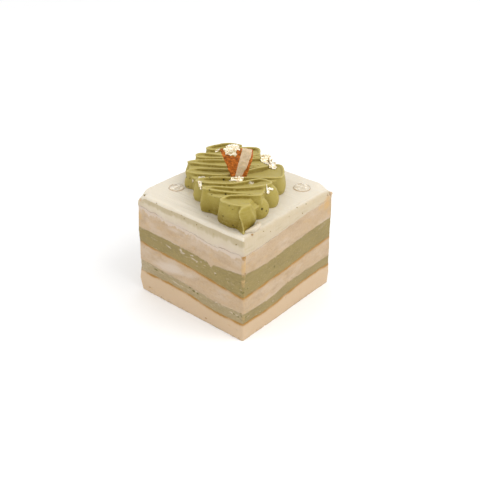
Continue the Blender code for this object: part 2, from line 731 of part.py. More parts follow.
def build_piping(material):
    """Zigzag, tail and shoulders fused to one body, thinned out, set on the icing, with gold leaf."""
    bm = bmesh.new()
    rounds = [shoulder_bmesh(centre, radii) for centre, radii in SHOULDERS]
    for extra in zigzag_meshes() + [tail_bmesh()] + rounds:
        mesh = bpy.data.meshes.new("extra")
        bmesh.ops.recalc_face_normals(extra, faces=extra.faces)
        extra.to_mesh(mesh)
        extra.free()
        bm.from_mesh(mesh)
        bpy.data.meshes.remove(mesh)
    piping = object_from_bmesh("piped_matcha", bm, material)
    fuse = piping.modifiers.new("fuse", "REMESH")
    fuse.mode = "VOXEL"
    fuse.voxel_size = PIPING_VOXEL
    soften = piping.modifiers.new("soften", "SMOOTH")
    soften.factor = 0.5
    soften.iterations = PIPING_SMOOTHING
    apply_modifiers(piping)
    thin = piping.modifiers.new("thin", "DECIMATE")
    thin.ratio = PIPING_TRIANGLES / (2.0 * len(piping.data.polygons))
    apply_modifiers(piping)
    keep_largest(piping)
    flakes = []
    for number, (ahead, across, height, length, width, turn) in enumerate(LEAF_ON_CREAM):
        flake = object_from_bmesh("flake_%d" % number, gold_flake(length * MM, width * MM, number))
        top = from_leaf(ahead, across, ICING_TOP + 2.0 * height * MM)
        found, spot, normal, face = piping.ray_cast(top, Vector((0.0, 0.0, -1.0)))
        flake.location = spot - Vector((0.0, 0.0, LEAF_THICKNESS * 0.5))
        flake.rotation_euler = (0.0, 0.0, radians(turn))
        flakes.append(flake)
    join_all(piping, flakes)
    cut_by(piping, floor_cutter())
    cut_by(piping, placed_curl("curl_room", TOUCH_GAP))
    cut_by(piping, object_from_bmesh("socket", nut_bmesh(NUT_SOCKET_GAP), smooth=False))
    keep_largest(piping)


def floor_cutter():
    """A slab that levels the underside of the piping just above the icing."""
    bm = bmesh.new()
    bmesh.ops.create_cube(bm, size=1.0)
    slab = object_from_bmesh("floor_cutter", bm, smooth=False)
    slab.data.transform(Matrix.Diagonal((4.0 * HALF, 4.0 * HALF, 4.0 * MM, 1.0)))
    slab.location = (0.0, 0.0, ICING_TOP + TOUCH_GAP - 2.0 * MM)
    return slab


def main():
    clear_scene()
    sponge = make_material("sponge", (0.66, 0.50, 0.36), 0.85)
    cream = make_material("matcha_cream", (0.36, 0.29, 0.11), 0.6)
    icing = make_material("white_icing", (0.85, 0.78, 0.65), 0.5)
    piped = make_material("piped_matcha_cream", (0.33, 0.27, 0.07), 0.45)
    nut = make_material("nut_skin", (0.42, 0.12, 0.02), 0.45)
    build_layers(sponge, cream)
    build_icing(icing)
    build_piping(piped)
    build_nut(nut)


main()
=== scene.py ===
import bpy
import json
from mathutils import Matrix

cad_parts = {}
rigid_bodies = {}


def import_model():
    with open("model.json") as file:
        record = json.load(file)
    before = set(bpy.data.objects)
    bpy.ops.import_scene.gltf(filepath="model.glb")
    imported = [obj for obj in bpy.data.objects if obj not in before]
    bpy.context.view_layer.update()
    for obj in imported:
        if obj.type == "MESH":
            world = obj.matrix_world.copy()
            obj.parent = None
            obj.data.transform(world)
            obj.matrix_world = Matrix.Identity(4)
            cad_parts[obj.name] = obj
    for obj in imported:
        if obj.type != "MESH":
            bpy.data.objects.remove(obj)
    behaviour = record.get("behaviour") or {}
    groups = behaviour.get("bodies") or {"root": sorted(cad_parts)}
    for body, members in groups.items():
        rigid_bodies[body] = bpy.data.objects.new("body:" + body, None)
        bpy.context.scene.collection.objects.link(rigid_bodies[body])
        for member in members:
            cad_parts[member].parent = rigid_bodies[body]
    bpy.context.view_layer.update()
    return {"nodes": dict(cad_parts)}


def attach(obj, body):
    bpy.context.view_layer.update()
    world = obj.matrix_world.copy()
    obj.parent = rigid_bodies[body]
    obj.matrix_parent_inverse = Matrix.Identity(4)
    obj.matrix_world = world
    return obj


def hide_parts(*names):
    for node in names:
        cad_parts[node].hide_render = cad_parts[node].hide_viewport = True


bl_info = {
    "name": "Layered Matcha Cake Slice",
    "version": (1, 0, 0),
    "blender": (4, 5, 0),
    "location": "View3D > Sidebar > Cake",
    "description": "Builds a cut square of layered matcha cake with piped cream, a nut shard and gold leaf",
    "category": "Add Mesh",
}

import json
import random
from math import cos, pi, radians, sin

import bmesh
import bpy
import numpy as np
from mathutils import Matrix, Vector, noise
from mathutils.bvhtree import BVHTree

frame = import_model()

MM = 0.001
LAYERS = ("sponge_bottom", "matcha_cream_lower", "sponge_middle", "matcha_cream_upper", "sponge_top")
BOTTOM_SPONGE = 0
LOWER_CREAM = 1
TOP_SPONGE = 4
NOTCHED_SEAM = 4
ICING_SEAM = 5
ICING_LEVEL = 48.2 * MM
HALF_SIDE = 30.0 * MM


def srgb(red, green, blue):
    """A colour given in 0 to 255, as the linear values that materials take."""
    linear = []
    for value in (red, green, blue):
        share = value / 255.0
        linear.append(share / 12.92 if share <= 0.04045 else ((share + 0.055) / 1.055) ** 2.4)
    return tuple(linear)


def length_setting(name, description, default, low, high):
    """A length that a user may change, in metres."""
    return bpy.props.FloatProperty(
        name=name, description=description, default=default, min=low, max=high, unit="LENGTH")


def colour_setting(name, description, red, green, blue):
    """A colour that a user may change, from its values in 0 to 255."""
    return bpy.props.FloatVectorProperty(
        name=name, description=description, default=srgb(red, green, blue), subtype="COLOR", min=0.0, max=1.0)


class CakeSizes(bpy.types.PropertyGroup):
    """Sizes of the cut block: its layers, its icing and the grain of its faces."""

    half_side: length_setting("Half Side", "Half of the width of the square block",
                              HALF_SIDE, 0.02, 0.05)
    corner_round: length_setting("Corner Round", "Radius of the four cut corners",
                                 0.8 * MM, 0.0001, 0.004)
    wall_cell: length_setting("Wall Cell", "Size of the mesh cells on the cut faces",
                              0.32 * MM, 0.0002, 0.002)
    icing_cell: length_setting("Icing Cell", "Size of the mesh cells on the icing",
                               0.4 * MM, 0.0002, 0.002)
    icing_level: length_setting("Icing Level", "Height of the icing's top above the base",
                                ICING_LEVEL, 0.03, 0.08)
    icing_rim: length_setting("Icing Rim", "Radius of the icing's rounded upper edge",
                              1.1 * MM, 0.0002, 0.004)
    crumb_depth: length_setting("Crumb Depth", "Depth of the open holes in the sponge",
                                0.4 * MM, 0.0, 0.002)


class PipingSizes(bpy.types.PropertyGroup):
    """Sizes of the piped zigzag."""

    voxel: length_setting("Voxel", "Cell size used to fuse the piped ribbon into one body",
                          0.29 * MM, 0.0002, 0.002)
    smoothing: bpy.props.IntProperty(
        name="Smoothing", description="Rounds of smoothing over the fused ribbon",
        default=5, min=0, max=30)
    streak_depth: length_setting("Streak Depth", "Depth of the fine streaks left by the nozzle",
                                 0.05 * MM, 0.0, 0.001)
    pinhole_depth: length_setting("Pinhole Depth", "Depth of the air holes in the cream",
                                  0.75 * MM, 0.0, 0.002)


class CakeColours(bpy.types.PropertyGroup):
    """Colours of the cake's parts."""

    sponge: colour_setting("Sponge", "Pale vanilla sponge", 183, 160, 132)
    sponge_shade: colour_setting("Sponge Shade", "Deeper tone in the sponge's grain", 176, 152, 122)
    sponge_warm: colour_setting("Sponge Warm", "Yellow baked tone at the slice's corners",
                                192, 158, 108)
    crust: colour_setting("Crust", "Thin baked skin on top of the sponge", 164, 124, 66)
    cream: colour_setting("Matcha Cream", "Matcha cream between the sponges", 140, 123, 72)
    cream_dark: colour_setting("Matcha Dark", "Wet or dense patches of the matcha cream",
                               104, 94, 46)
    smear: colour_setting("Smear", "Pale icing dragged over the cut faces by the knife",
                          196, 180, 163)
    icing: colour_setting("Icing", "White icing", 216, 207, 190)
    icing_tint: colour_setting("Icing Tint", "Pale green dragged into the icing's side",
                               173, 158, 126)
    # Icing Side is also painted shade on the upright sides and on the turned-down rim
    icing_side_and_shade: colour_setting("Icing Side", "Creamier icing on the cut sides", 189, 174, 147)
    # Piped Light is also the painted highlight on the lips and the painted top light on faces that look up
    piped_light_and_highlight: colour_setting("Piped Light", "Lips and thin places of the piped cream",
                                180, 166, 102)
    piped: colour_setting("Piped Cream", "Body of the piped cream", 153, 137, 61)
    # Piped Dark is also the painted shade in creases, toward the foot and in the air holes
    piped_dark_and_shade: colour_setting("Piped Dark", "Creases of the piped cream", 118, 99, 24)
    nut_skin: colour_setting("Nut Skin", "Roasted skin of the nut", 180, 98, 26)
    nut_flesh: colour_setting("Nut Flesh", "Broken face of the nut", 214, 191, 160)
    gold: colour_setting("Gold Leaf", "Pale gold leaf", 253, 246, 226)
    # Glaze Edge is the colour of the painted shade ring along the drops' edges
    glaze_edge_shade: colour_setting("Glaze Edge", "Border of the clear glaze drops", 186, 160, 126)
    floor: colour_setting("Floor", "Studio floor", 246, 246, 246)


class StageSettings(bpy.types.PropertyGroup):
    """Camera and light."""

    lens: bpy.props.FloatProperty(
        name="Lens", description="Focal length on a 36 mm sensor",
        default=57.45, min=10.0, max=200.0)
    distance: length_setting("Distance", "From the aim point to the camera", 338.56 * MM, 0.1, 5.0)
    azimuth: bpy.props.FloatProperty(
        name="Azimuth", description="Turn of the camera round the cake",
        default=radians(40.337), subtype="ANGLE")
    elevation: bpy.props.FloatProperty(
        name="Elevation", description="Height angle of the camera",
        default=radians(29.950), subtype="ANGLE")
    roll: bpy.props.FloatProperty(
        name="Roll", description="Roll of the camera", default=radians(0.564), subtype="ANGLE")
    aim_right: bpy.props.FloatProperty(
        name="Aim Right", description="Aim point beside the cake's axis",
        default=1.945 * MM, unit="LENGTH")
    aim_height: bpy.props.FloatProperty(
        name="Aim Height", description="Height of the aim point",
        default=23.624 * MM, unit="LENGTH")
    key_power: bpy.props.FloatProperty(
        name="Key Light", description="Power of the large light on the right",
        default=2.0, min=0.0, unit="POWER")
    fill_power: bpy.props.FloatProperty(
        name="Fill Light", description="Power of the soft light on the left",
        default=1.0, min=0.0, unit="POWER")
    sky: bpy.props.FloatProperty(
        name="Surround", description="Brightness of the white room", default=1.0, min=0.0)


# Mesh helpers

def put_in_scene(holder):
    bpy.context.scene.collection.objects.link(holder)


def smoothed(mesh, smooth=True):
    mesh.polygons.foreach_set("use_smooth", [smooth] * len(mesh.polygons))
    mesh.update()


def mesh_object(name, verts, faces, smooth=True):
    """An object made of a list of points and faces, linked to the scene."""
    mesh = bpy.data.meshes.new(name)
    mesh.from_pydata(verts, [], faces)
    smoothed(mesh, smooth)
    piece = bpy.data.objects.new(name, mesh)
    put_in_scene(piece)
    return piece


def join_rings(faces, low, high, count):
    """Faces between two closed rings of points, each given by the number of its first point."""
    for i in range(count):
        j = (i + 1) % count
        faces.append((low + i, low + j, high + j, high + i))


def close_ring(faces, first, count, upward):
    """One face over a closed ring of points."""
    ring = range(first, first + count)
    faces.append(tuple(ring if upward else reversed(ring)))


def search_tree(mesh):
    """A tree that lines of sight can be run against."""
    return BVHTree.FromPolygons([v.co for v in mesh.vertices], [tuple(f.vertices) for f in mesh.polygons])


def paint(piece, name, values):
    """Stores one number a point, for a material to read."""
    layer = piece.data.attributes.new(name, "FLOAT", "POINT")
    layer.data.foreach_set("value", values)


def paint_all(piece, painted):
    for name, values in painted.items():
        paint(piece, name, values)


def evaluated(piece):
    """Applies a piece's modifiers."""
    depsgraph = bpy.context.evaluated_depsgraph_get()
    mesh = bpy.data.meshes.new_from_object(piece.evaluated_get(depsgraph))
    piece.modifiers.clear()
    old = piece.data
    piece.data = mesh
    bpy.data.meshes.remove(old)


def finish_piece(piece, material, slot, *nodes):
    """Gives a piece its material and body. One that stands for nodes also carries small toppings."""
    piece.data.materials.clear()
    piece.data.materials.append(material)
    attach(piece, "root")
    if nodes:
        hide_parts(*nodes)
        piece["carries"] = 1


def soft_step(value):
    share = min(max(value, 0.0), 1.0)
    return share * share * (3.0 - 2.0 * share)


def grain(x, y, z, size, seed=0.0):
    """Smooth noise between about -1 and 1. Places and size are in metres."""
    return noise.noise(Vector((x / size + seed, y / size - seed, z / size + 2.0 * seed)))


ROOT_HALF = 0.5 ** 0.5


def from_leaf(ahead, across, z):
    """A place from mm ahead toward the front corner, mm across to the right and its height."""
    return Vector(((ahead + across) * ROOT_HALF * MM, (across - ahead) * ROOT_HALF * MM, z))


def dimmed(colour, share):
    return [value * share for value in colour]


def brightened(colour, share, lift=0.0):
    return [min(value * share + lift, 1.0) for value in colour]


# Material helpers

class Finish:
    """Makes a node material one node at a time. Texture sizes are in mm."""

    def __init__(self, name, roughness, specular=0.5):
        self.material = bpy.data.materials.new(name)
        self.material.use_nodes = True
        self.nodes = self.material.node_tree.nodes
        self.links = self.material.node_tree.links
        self.shader = self.nodes["Principled BSDF"]
        self.shader.inputs["Roughness"].default_value = roughness
        self.shader.inputs["Specular IOR Level"].default_value = specular
        self.colour = None
        self.places = self.nodes.new("ShaderNodeTexCoord").outputs["Object"]

    def stretched(self, size):
        """Object places scaled so that one unit is one feature. Size is in mm along X, Y and Z."""
        mapping = self.nodes.new("ShaderNodeMapping")
        mapping.inputs["Scale"].default_value = [1.0 / (value * MM) for value in size]
        self.links.new(self.places, mapping.inputs["Vector"])
        return mapping.outputs["Vector"]

    def cloud(self, size, detail=4.0, rough=0.55, seed=0.0):
        """Noise with features of the given size in mm."""
        sizes = size if isinstance(size, tuple) else (size, size, size)
        node = self.nodes.new("ShaderNodeTexNoise")
        node.noise_dimensions = "4D"
        node.inputs["W"].default_value = seed
        node.inputs["Scale"].default_value = 1.0
        node.inputs["Detail"].default_value = detail
        node.inputs["Roughness"].default_value = rough
        self.links.new(self.stretched(sizes), node.inputs["Vector"])
        return node.outputs["Fac"]

    def cells(self, size, seed=0.0):
        """Distance to the nearest of many scattered points, for holes and grains."""
        node = self.nodes.new("ShaderNodeTexVoronoi")
        node.voronoi_dimensions = "4D"
        node.inputs["W"].default_value = seed
        node.inputs["Scale"].default_value = 1.0
        self.links.new(self.stretched((size, size, size)), node.inputs["Vector"])
        return node.outputs["Distance"]

    def painted(self, name):
        node = self.nodes.new("ShaderNodeAttribute")
        node.attribute_name = name
        return node.outputs["Fac"]

    def between(self, value, low, high, most=None):
        """Turns low..high into 0..1, or into 0..most."""
        node = self.nodes.new("ShaderNodeMapRange")
        node.interpolation_type = "SMOOTHSTEP"
        node.inputs["From Min"].default_value = low
        node.inputs["From Max"].default_value = high
        self.links.new(value, node.inputs["Value"])
        share = node.outputs["Result"]
        return share if most is None else self.times(share, most)

    def math(self, operation, first, second):
        node = self.nodes.new("ShaderNodeMath")
        node.operation = operation
        for place, value in enumerate((first, second)):
            if isinstance(value, (int, float)):
                node.inputs[place].default_value = value
            else:
                self.links.new(value, node.inputs[place])
        return node.outputs["Value"]

    def times(self, first, second):
        return self.math("MULTIPLY", first, second)

    def frayed(self, name, noise_value, amount):
        """A painted value with its edges broken up by a noise."""
        value = self.painted(name)
        return self.math("ADD", value, self.times(self.math("SUBTRACT", noise_value, 0.5), amount))

    def mark(self, name, noise_value, amount, low, high):
        """Where a painted mark shows, from 0 to 1, with frayed edges."""
        return self.between(self.frayed(name, noise_value, amount), low, high)

    def mixed(self, share, first, second):
        """Mixes two colours, either of which may come from another node."""
        node = self.nodes.new("ShaderNodeMix")
        node.data_type = "RGBA"
        if isinstance(share, (int, float)):
            node.inputs["Factor"].default_value = share
        else:
            self.links.new(share, node.inputs["Factor"])
        for place, value in ((6, first), (7, second)):
            if isinstance(value, bpy.types.NodeSocket):
                self.links.new(value, node.inputs[place])
            else:
                node.inputs[place].default_value = tuple(value) + (1.0,)
        return node.outputs[2]

    def base(self, share, first, second):
        """Starts the colour with a mix of two."""
        self.colour = self.mixed(share, first, second)

    def cover(self, share, colour):
        """Lays a colour over what is there so far, as strongly as its share says."""
        self.colour = self.mixed(share, self.colour, colour)

    def rough(self, value, spread, least):
        """Roughness that follows a noise."""
        self.links.new(self.math("ADD", self.times(value, spread), least), self.shader.inputs["Roughness"])

    def done(self):
        """The material, with the colour that has been laid up."""
        self.links.new(self.colour, self.shader.inputs["Base Color"])
        return self.material

    def bumped(self, *layers):
        """Stacks bumps, each a height from 0 to 1 and its depth in mm."""
        last = None
        for height, depth in layers:
            node = self.nodes.new("ShaderNodeBump")
            node.inputs["Strength"].default_value = 1.0
            node.inputs["Distance"].default_value = depth * MM
            self.links.new(height, node.inputs["Height"])
            if last is not None:
                self.links.new(last, node.inputs["Normal"])
            last = node.outputs["Normal"]
        self.links.new(last, self.shader.inputs["Normal"])

    def soft(self, weight, radius, scale):
        """Light that travels under the surface. Radius is a colour, scale is in mm."""
        self.shader.inputs["Subsurface Weight"].default_value = weight
        self.shader.inputs["Subsurface Radius"].default_value = radius
        self.shader.inputs["Subsurface Scale"].default_value = scale * MM


def sponge_finish(colours):
    """Pale fine crumb, browned along its upper skin, with icing and cream dragged over it."""
    finish = Finish("sponge_crumb", 0.85, 0.25)
    patches = finish.cloud((13.0, 13.0, 6.0), 3.0, 0.55, 1.0)
    crumb = finish.cloud(1.0, 5.0, 0.62, 2.0)
    fine = finish.cloud(0.32, 3.0, 0.6, 3.0)
    broad = finish.cloud((7.0, 7.0, 3.0), 5.0, 0.65, 24.0)
    blush = finish.cloud((4.0, 4.0, 2.0), 4.0, 0.6, 23.0)
    finish.base(finish.between(crumb, 0.3, 0.62), colours.sponge_shade, colours.sponge)
    finish.cover(finish.between(patches, 0.42, 0.72, 0.45), colours.smear)
    finish.cover(finish.between(broad, 0.46, 0.7, 0.6), dimmed(colours.sponge_shade, 0.84))
    finish.cover(finish.between(blush, 0.48, 0.75, 0.35), colours.sponge_warm)
    finish.cover(finish.times(finish.painted("tone"), 0.9), brightened(colours.sponge, 1.16))
    finish.cover(finish.mark("warm", crumb, 1.2, 0.2, 1.3), colours.sponge_warm)
    # Painted shade in the pores: small cells, sunk by the bump below, take the darker crust colour
    holes = finish.between(finish.cells(1.0, 4.0), 0.2, 0.05)
    shaded_pores = finish.times(holes, finish.between(patches, 0.7, 0.35))
    finish.cover(finish.times(shaded_pores, 0.3), colours.crust)
    finish.cover(finish.mark("smear", patches, 0.9, 0.0, 1.3), colours.smear)
    finish.cover(finish.mark("green", fine, 0.8, 0.3, 1.0), colours.cream)
    finish.cover(finish.mark("crust", crumb, 0.3, 0.0, 1.15), colours.crust)
    finish.rough(crumb, 0.25, 0.68)
    finish.bumped((crumb, 0.16), (shaded_pores, -0.1), (fine, 0.06))
    finish.soft(0.25, (1.0, 0.75, 0.5), 1.2)
    return finish.done()


def cream_finish(colours):
    """Matcha cream between the sponges, mottled, with pale strokes and dark wet spots."""
    finish = Finish("matcha_cream_layer", 0.6, 0.3)
    patches = finish.cloud((9.0, 9.0, 3.0), 3.0, 0.6, 5.0)
    mottle = finish.cloud((1.5, 1.5, 0.8), 5.0, 0.6, 6.0)
    fine = finish.cloud(0.4, 3.0, 0.6, 7.0)
    finish.base(finish.between(patches, 0.3, 0.7), colours.cream, dimmed(colours.cream, 0.86))
    finish.cover(finish.between(mottle, 0.45, 0.75), brightened(colours.cream, 1.1, 0.012))
    finish.cover(finish.times(finish.painted("tone"), 0.5), colours.smear)
    finish.cover(finish.between(finish.cells(0.9, 20.0), 0.22, 0.08, 0.55), colours.smear)
    finish.cover(finish.mark("smear", mottle, 1.1, 0.25, 1.35), colours.smear)
    finish.cover(finish.mark("green", fine, 1.1, 0.35, 1.0), colours.cream_dark)
    finish.cover(finish.mark("warm", mottle, 0.8, 0.2, 1.0), colours.sponge_warm)
    finish.cover(finish.mark("crust", mottle, 0.4, 0.1, 1.1), colours.crust)
    finish.rough(mottle, 0.3, 0.42)
    finish.bumped((mottle, 0.14), (fine, 0.06))
    finish.soft(0.15, (1.0, 0.8, 0.3), 1.0)
    return finish.done()


def icing_finish(colours):
    """White icing with spatula lines; its sides and its rim where it turns down are darker and creamier,
    partly painted shade, and tinted where the knife passed.
    """
    finish = Finish("white_icing", 0.5, 0.35)
    lines = finish.cloud((26.0, 0.8, 8.0), 4.0, 0.6, 8.0)
    clouds = finish.cloud(6.0, 3.0, 0.5, 9.0)
    fine = finish.cloud(0.5, 3.0, 0.6, 10.0)
    upright = finish.cloud((0.5, 0.5, 6.0), 3.0, 0.6, 21.0)
    finish.base(finish.between(lines, 0.35, 0.75), colours.icing, dimmed(colours.icing, 0.93))
    finish.cover(finish.mark("side", clouds, 0.5, 0.0, 1.0), colours.icing_side_and_shade)
    finish.cover(finish.mark("tint", upright, 0.9, 0.0, 1.25), colours.icing_tint)
    specks = finish.between(finish.cells(2.0, 11.0), 0.15, 0.05)
    finish.cover(finish.times(finish.times(finish.painted("tint"), specks), 0.8), colours.piped)
    finish.cover(finish.mark("smear", clouds, 0.9, 0.0, 1.4), colours.smear)
    finish.cover(finish.mark("warm", clouds, 0.8, 0.15, 1.0), colours.sponge_warm)
    finish.rough(lines, 0.25, 0.38)
    finish.bumped((lines, 0.16), (clouds, 0.2), (fine, 0.04))
    finish.soft(0.3, (1.0, 0.85, 0.65), 1.5)
    return finish.done()


def piped_finish(colours):
    """Smooth piped cream with painted light: lighter on faces that look up, on the back lobes and on its
    lips; painted shade toward the foot, in creases and in air holes.
    """
    finish = Finish("piped_matcha_cream", 0.5, 0.22)
    mottle = finish.cloud(2.4, 4.0, 0.6, 12.0)
    fine = finish.cloud(0.5, 3.0, 0.6, 13.0)
    streaks = finish.cloud((5.0, 5.0, 0.35), 4.0, 0.6, 25.0)
    pale = finish.cloud(0.8, 4.0, 0.6, 22.0)
    bend = finish.frayed("lip", mottle, 0.2)
    # Painted top light: faces that look up and the back lobes take a lighter colour
    upper = [low * 0.45 + high * 0.55 for low, high in zip(colours.piped, colours.piped_light_and_highlight)]
    finish.base(finish.mark("upper", mottle, 0.3, 0.2, 0.9), colours.piped, upper)
    # Painted shade: darker toward the foot of the front lobes
    finish.cover(finish.mark("foot", mottle, 0.3, 0.15, 1.1), colours.piped_dark_and_shade)
    # Painted highlight on the convex lips
    finish.cover(finish.between(bend, 0.08, 0.6, 0.8), colours.piped_light_and_highlight)
    finish.cover(finish.between(streaks, 0.5, 0.75, 0.35), colours.piped_light_and_highlight)
    # Painted shade in the creases
    finish.cover(finish.between(bend, -0.08, -0.6), colours.piped_dark_and_shade)
    finish.cover(finish.between(fine, 0.48, 0.75, 0.22), colours.piped_dark_and_shade)
    finish.cover(finish.between(pale, 0.5, 0.75, 0.35), colours.piped_light_and_highlight)
    # Painted shade in the air holes
    finish.cover(finish.painted("pinhole_shade"), dimmed(colours.piped_dark_and_shade, 0.3))
    finish.rough(mottle, 0.25, 0.38)
    finish.bumped((mottle, 0.1), (fine, 0.03))
    finish.soft(0.2, (1.0, 0.85, 0.3), 1.2)
    return finish.done()


def nut_finish(colours):
    """Roasted skin on the outside, pale broken flesh on the cut side."""
    finish = Finish("roasted_nut", 0.45, 0.3)
    mottle = finish.cloud((1.3, 1.3, 1.0), 5.0, 0.7, 14.0)
    fine = finish.cloud(0.35, 3.0, 0.6, 15.0)
    bright = brightened(colours.nut_skin, 1.75, 0.03)
    finish.base(finish.between(mottle, 0.4, 0.52), dimmed(colours.nut_skin, 0.5), colours.nut_skin)
    finish.cover(finish.between(mottle, 0.52, 0.66), bright)
    finish.cover(finish.between(fine, 0.5, 0.8, 0.5), bright)
    shade = dimmed(colours.nut_flesh, 0.82)
    flesh = finish.mixed(finish.between(mottle, 0.4, 0.7), colours.nut_flesh, shade)
    finish.cover(finish.mark("flesh", mottle, 1.1, 0.4, 0.6), flesh)
    finish.rough(mottle, 0.3, 0.35)
    finish.bumped((mottle, 0.3), (fine, 0.1))
    finish.soft(0.12, (1.0, 0.5, 0.2), 0.8)
    return finish.done()


def gold_finish(colours):
    """Crumpled metal leaf, with painted shade in darker golden-brown patches that follow a crumple noise."""
    finish = Finish("gold_leaf", 0.35)
    finish.shader.inputs["Metallic"].default_value = 1.0
    crumple = finish.cloud(0.5, 4.0, 0.6, 16.0)
    # Painted shade: the darker golden-brown colour of the crumple's patches
    deep_shade = [value * share for value, share in zip(colours.gold, (0.66, 0.45, 0.22))]
    finish.base(finish.between(crumple, 0.5, 0.64), colours.gold, deep_shade)
    finish.rough(crumple, 0.3, 0.2)
    finish.bumped((crumple, 0.15))
    return finish.done()


def glaze_finish(colours):
    """Clear glaze: the icing shows through. Its border is a painted shade ring, and pale patches inside are a
    painted highlight.
    """
    finish = Finish("clear_glaze", 0.08)
    haze = finish.cloud(1.6, 2.0, 0.5, 17.0)
    edge = finish.mark("border", haze, 0.3, 0.25, 0.9)
    # Painted highlight: the inside takes a brightened icing colour, shown in pale patches by the alpha below
    finish.base(edge, brightened(colours.icing, 1.35), colours.glaze_edge_shade)
    shown = finish.math("MAXIMUM", finish.times(edge, 0.55), finish.between(haze, 0.46, 0.6, 0.55))
    finish.links.new(finish.math("ADD", shown, 0.08), finish.shader.inputs["Alpha"])
    finish.rough(haze, 0.12, 0.04)
    finish.bumped((haze, 0.08))
    return finish.done()


def crumb_finish(colours):
    """Loose baked crumbs."""
    finish = Finish("loose_crumb", 0.8)
    fine = finish.cloud(0.3, 4.0, 0.6, 18.0)
    finish.base(finish.between(fine, 0.35, 0.65), colours.crust, colours.sponge_shade)
    finish.bumped((fine, 0.1))
    return finish.done()


def floor_finish(colours):
    finish = Finish("studio_floor", 0.75)
    finish.base(finish.cloud(60.0, 2.0, 0.5, 19.0), colours.floor, dimmed(colours.floor, 0.985))
    return finish.done()


# Cut block

def square_stations(half, corner, spacing):
    """Stations round the square: place and outward direction.

    They start at the left corner and run along the front left face first.
    """
    stations = []
    straight = 2.0 * (half - corner)
    steps = max(4, round(straight / spacing))
    arc_steps = max(3, round(corner * pi / 2.0 / spacing))
    for side in range(4):
        turn = Matrix.Rotation(side * pi / 2.0, 2)
        for i in range(steps):
            place = Vector((-half + corner + straight * i / steps, -half))
            stations.append((turn @ place, turn @ Vector((0.0, -1.0))))
        for i in range(arc_steps):
            angle = -pi / 2.0 + pi / 2.0 * i / arc_steps
            out = Vector((cos(angle), sin(angle)))
            stations.append((turn @ (Vector((half - corner, corner - half)) + out * corner), turn @ out))
    return stations


def node_reader(node):
    """Reads a node's foot and top height at a place in plan, from its mesh in the frame."""
    tree = search_tree(frame["nodes"][node].data)

    def read(x, y):
        low = tree.ray_cast(Vector((x, y, -0.05)), Vector((0.0, 0.0, 1.0)))[0]
        high = tree.ray_cast(Vector((x, y, 0.15)), Vector((0.0, 0.0, -1.0)))[0]
        return low.z, high.z

    return read


def seams(stations, inward):
    """Heights of the seams between the layers at every station, halfway over the gaps in the solids."""
    readers = [node_reader(node) for node in LAYERS + ("top_icing",)]
    rows = []
    for place, out in stations:
        spot = place - out * inward
        heights = [reader(spot.x, spot.y) for reader in readers]
        row = [0.0]
        for below, above in zip(heights, heights[1:]):
            row.append((below[1] + above[0]) / 2.0)
        rows.append(row)
    return rows


# How far the left and the right corner stand out of the square, in mm, at even heights from the
# foot up to the top, and how far along the faces that is felt
LEFT_CORNER_LINE = (-0.3, 0.6, -0.1, -0.1, -0.35, 0.05, -0.2, -0.5, -1.2)
RIGHT_CORNER_LINE = (0.1, 0.45, 0.1, 0.1, -0.15, -0.2, -0.3, -0.6, -1.0)
CORNER_LINE_REACH = 9.0 * MM


def through(values, t):
    """A straight-edged curve through evenly spaced values, with t from 0 to 1."""
    place = min(max(t, 0.0), 1.0) * (len(values) - 1)
    first = min(int(place), len(values) - 2)
    return values[first] + (values[first + 1] - values[first]) * (place - first)


def corner_pull(x, y, z, half):
    """How far the left or the right corner stands out of the square at this height."""
    pull = 0.0
    for side, line in ((-1.0, LEFT_CORNER_LINE), (1.0, RIGHT_CORNER_LINE)):
        away = ((x - side * half) ** 2 + (y - side * half) ** 2) ** 0.5
        if away < CORNER_LINE_REACH:
            pull += through(line, z / ICING_LEVEL) * MM * soft_step(1.0 - away / CORNER_LINE_REACH)
    return pull


# Notch in the upper matcha cream's upper edge on the front left face, in mm
NOTCH_PLACE = 12.6 * MM
NOTCH_WIDTH = 2.2 * MM
NOTCH_DEPTH = 1.7 * MM
CLEAN_FACE_TOOTH = 0.16 * MM


def ragged_seam(place, height, seam):
    """A seam's small unevenness. The icing's foot is the most ragged on the front left face."""
    if seam == 0:
        return 0.0
    drag = soft_step((-place.y - 29.0 * MM) / MM)
    wave = grain(place.x, place.y, 0.0, 5.0 * MM, 3.0 + seam) * 0.28 * MM
    tooth = grain(place.x, place.y, 0.0, 1.2 * MM, 9.0 + seam) * CLEAN_FACE_TOOTH * (1.0 + 0.4 * drag)
    if seam == ICING_SEAM:
        wave += drag * grain(place.x, place.y, 0.0, 3.2 * MM, 40.0) * 0.75 * MM
        tooth *= 1.6
    if seam == NOTCHED_SEAM:
        wave -= drag * NOTCH_DEPTH * soft_step(1.0 - abs(place.x - NOTCH_PLACE) / NOTCH_WIDTH)
    return height + wave + tooth


def crumb_relief(x, y, z, depth):
    """How far the sponge sits back: fine grain, and small open holes here and there."""
    back = 0.05 * MM * grain(x, y, z, 0.8 * MM, 1.0) + 0.06 * MM * grain(x, y, z, 3.0 * MM, 2.0)
    distance, places = noise.voronoi(Vector((x, y, z)) / (1.7 * MM))
    open_here = grain(places[0].x * MM, places[0].y * MM, places[0].z * MM, 0.37 * MM, 5.0)
    if open_here > 0.2:
        reach = 0.15 + 0.4 * open_here
        back -= depth * soft_step(1.0 - distance[0] / reach)
    return back


def cream_relief(x, y, z):
    """Cream is smoother than sponge and drawn out along the cut."""
    long_drag = grain(x * 0.4, y * 0.4, z, 1.6 * MM, 21.0) * 0.12 * MM
    return long_drag + grain(x, y, z, 0.8 * MM, 22.0) * 0.05 * MM


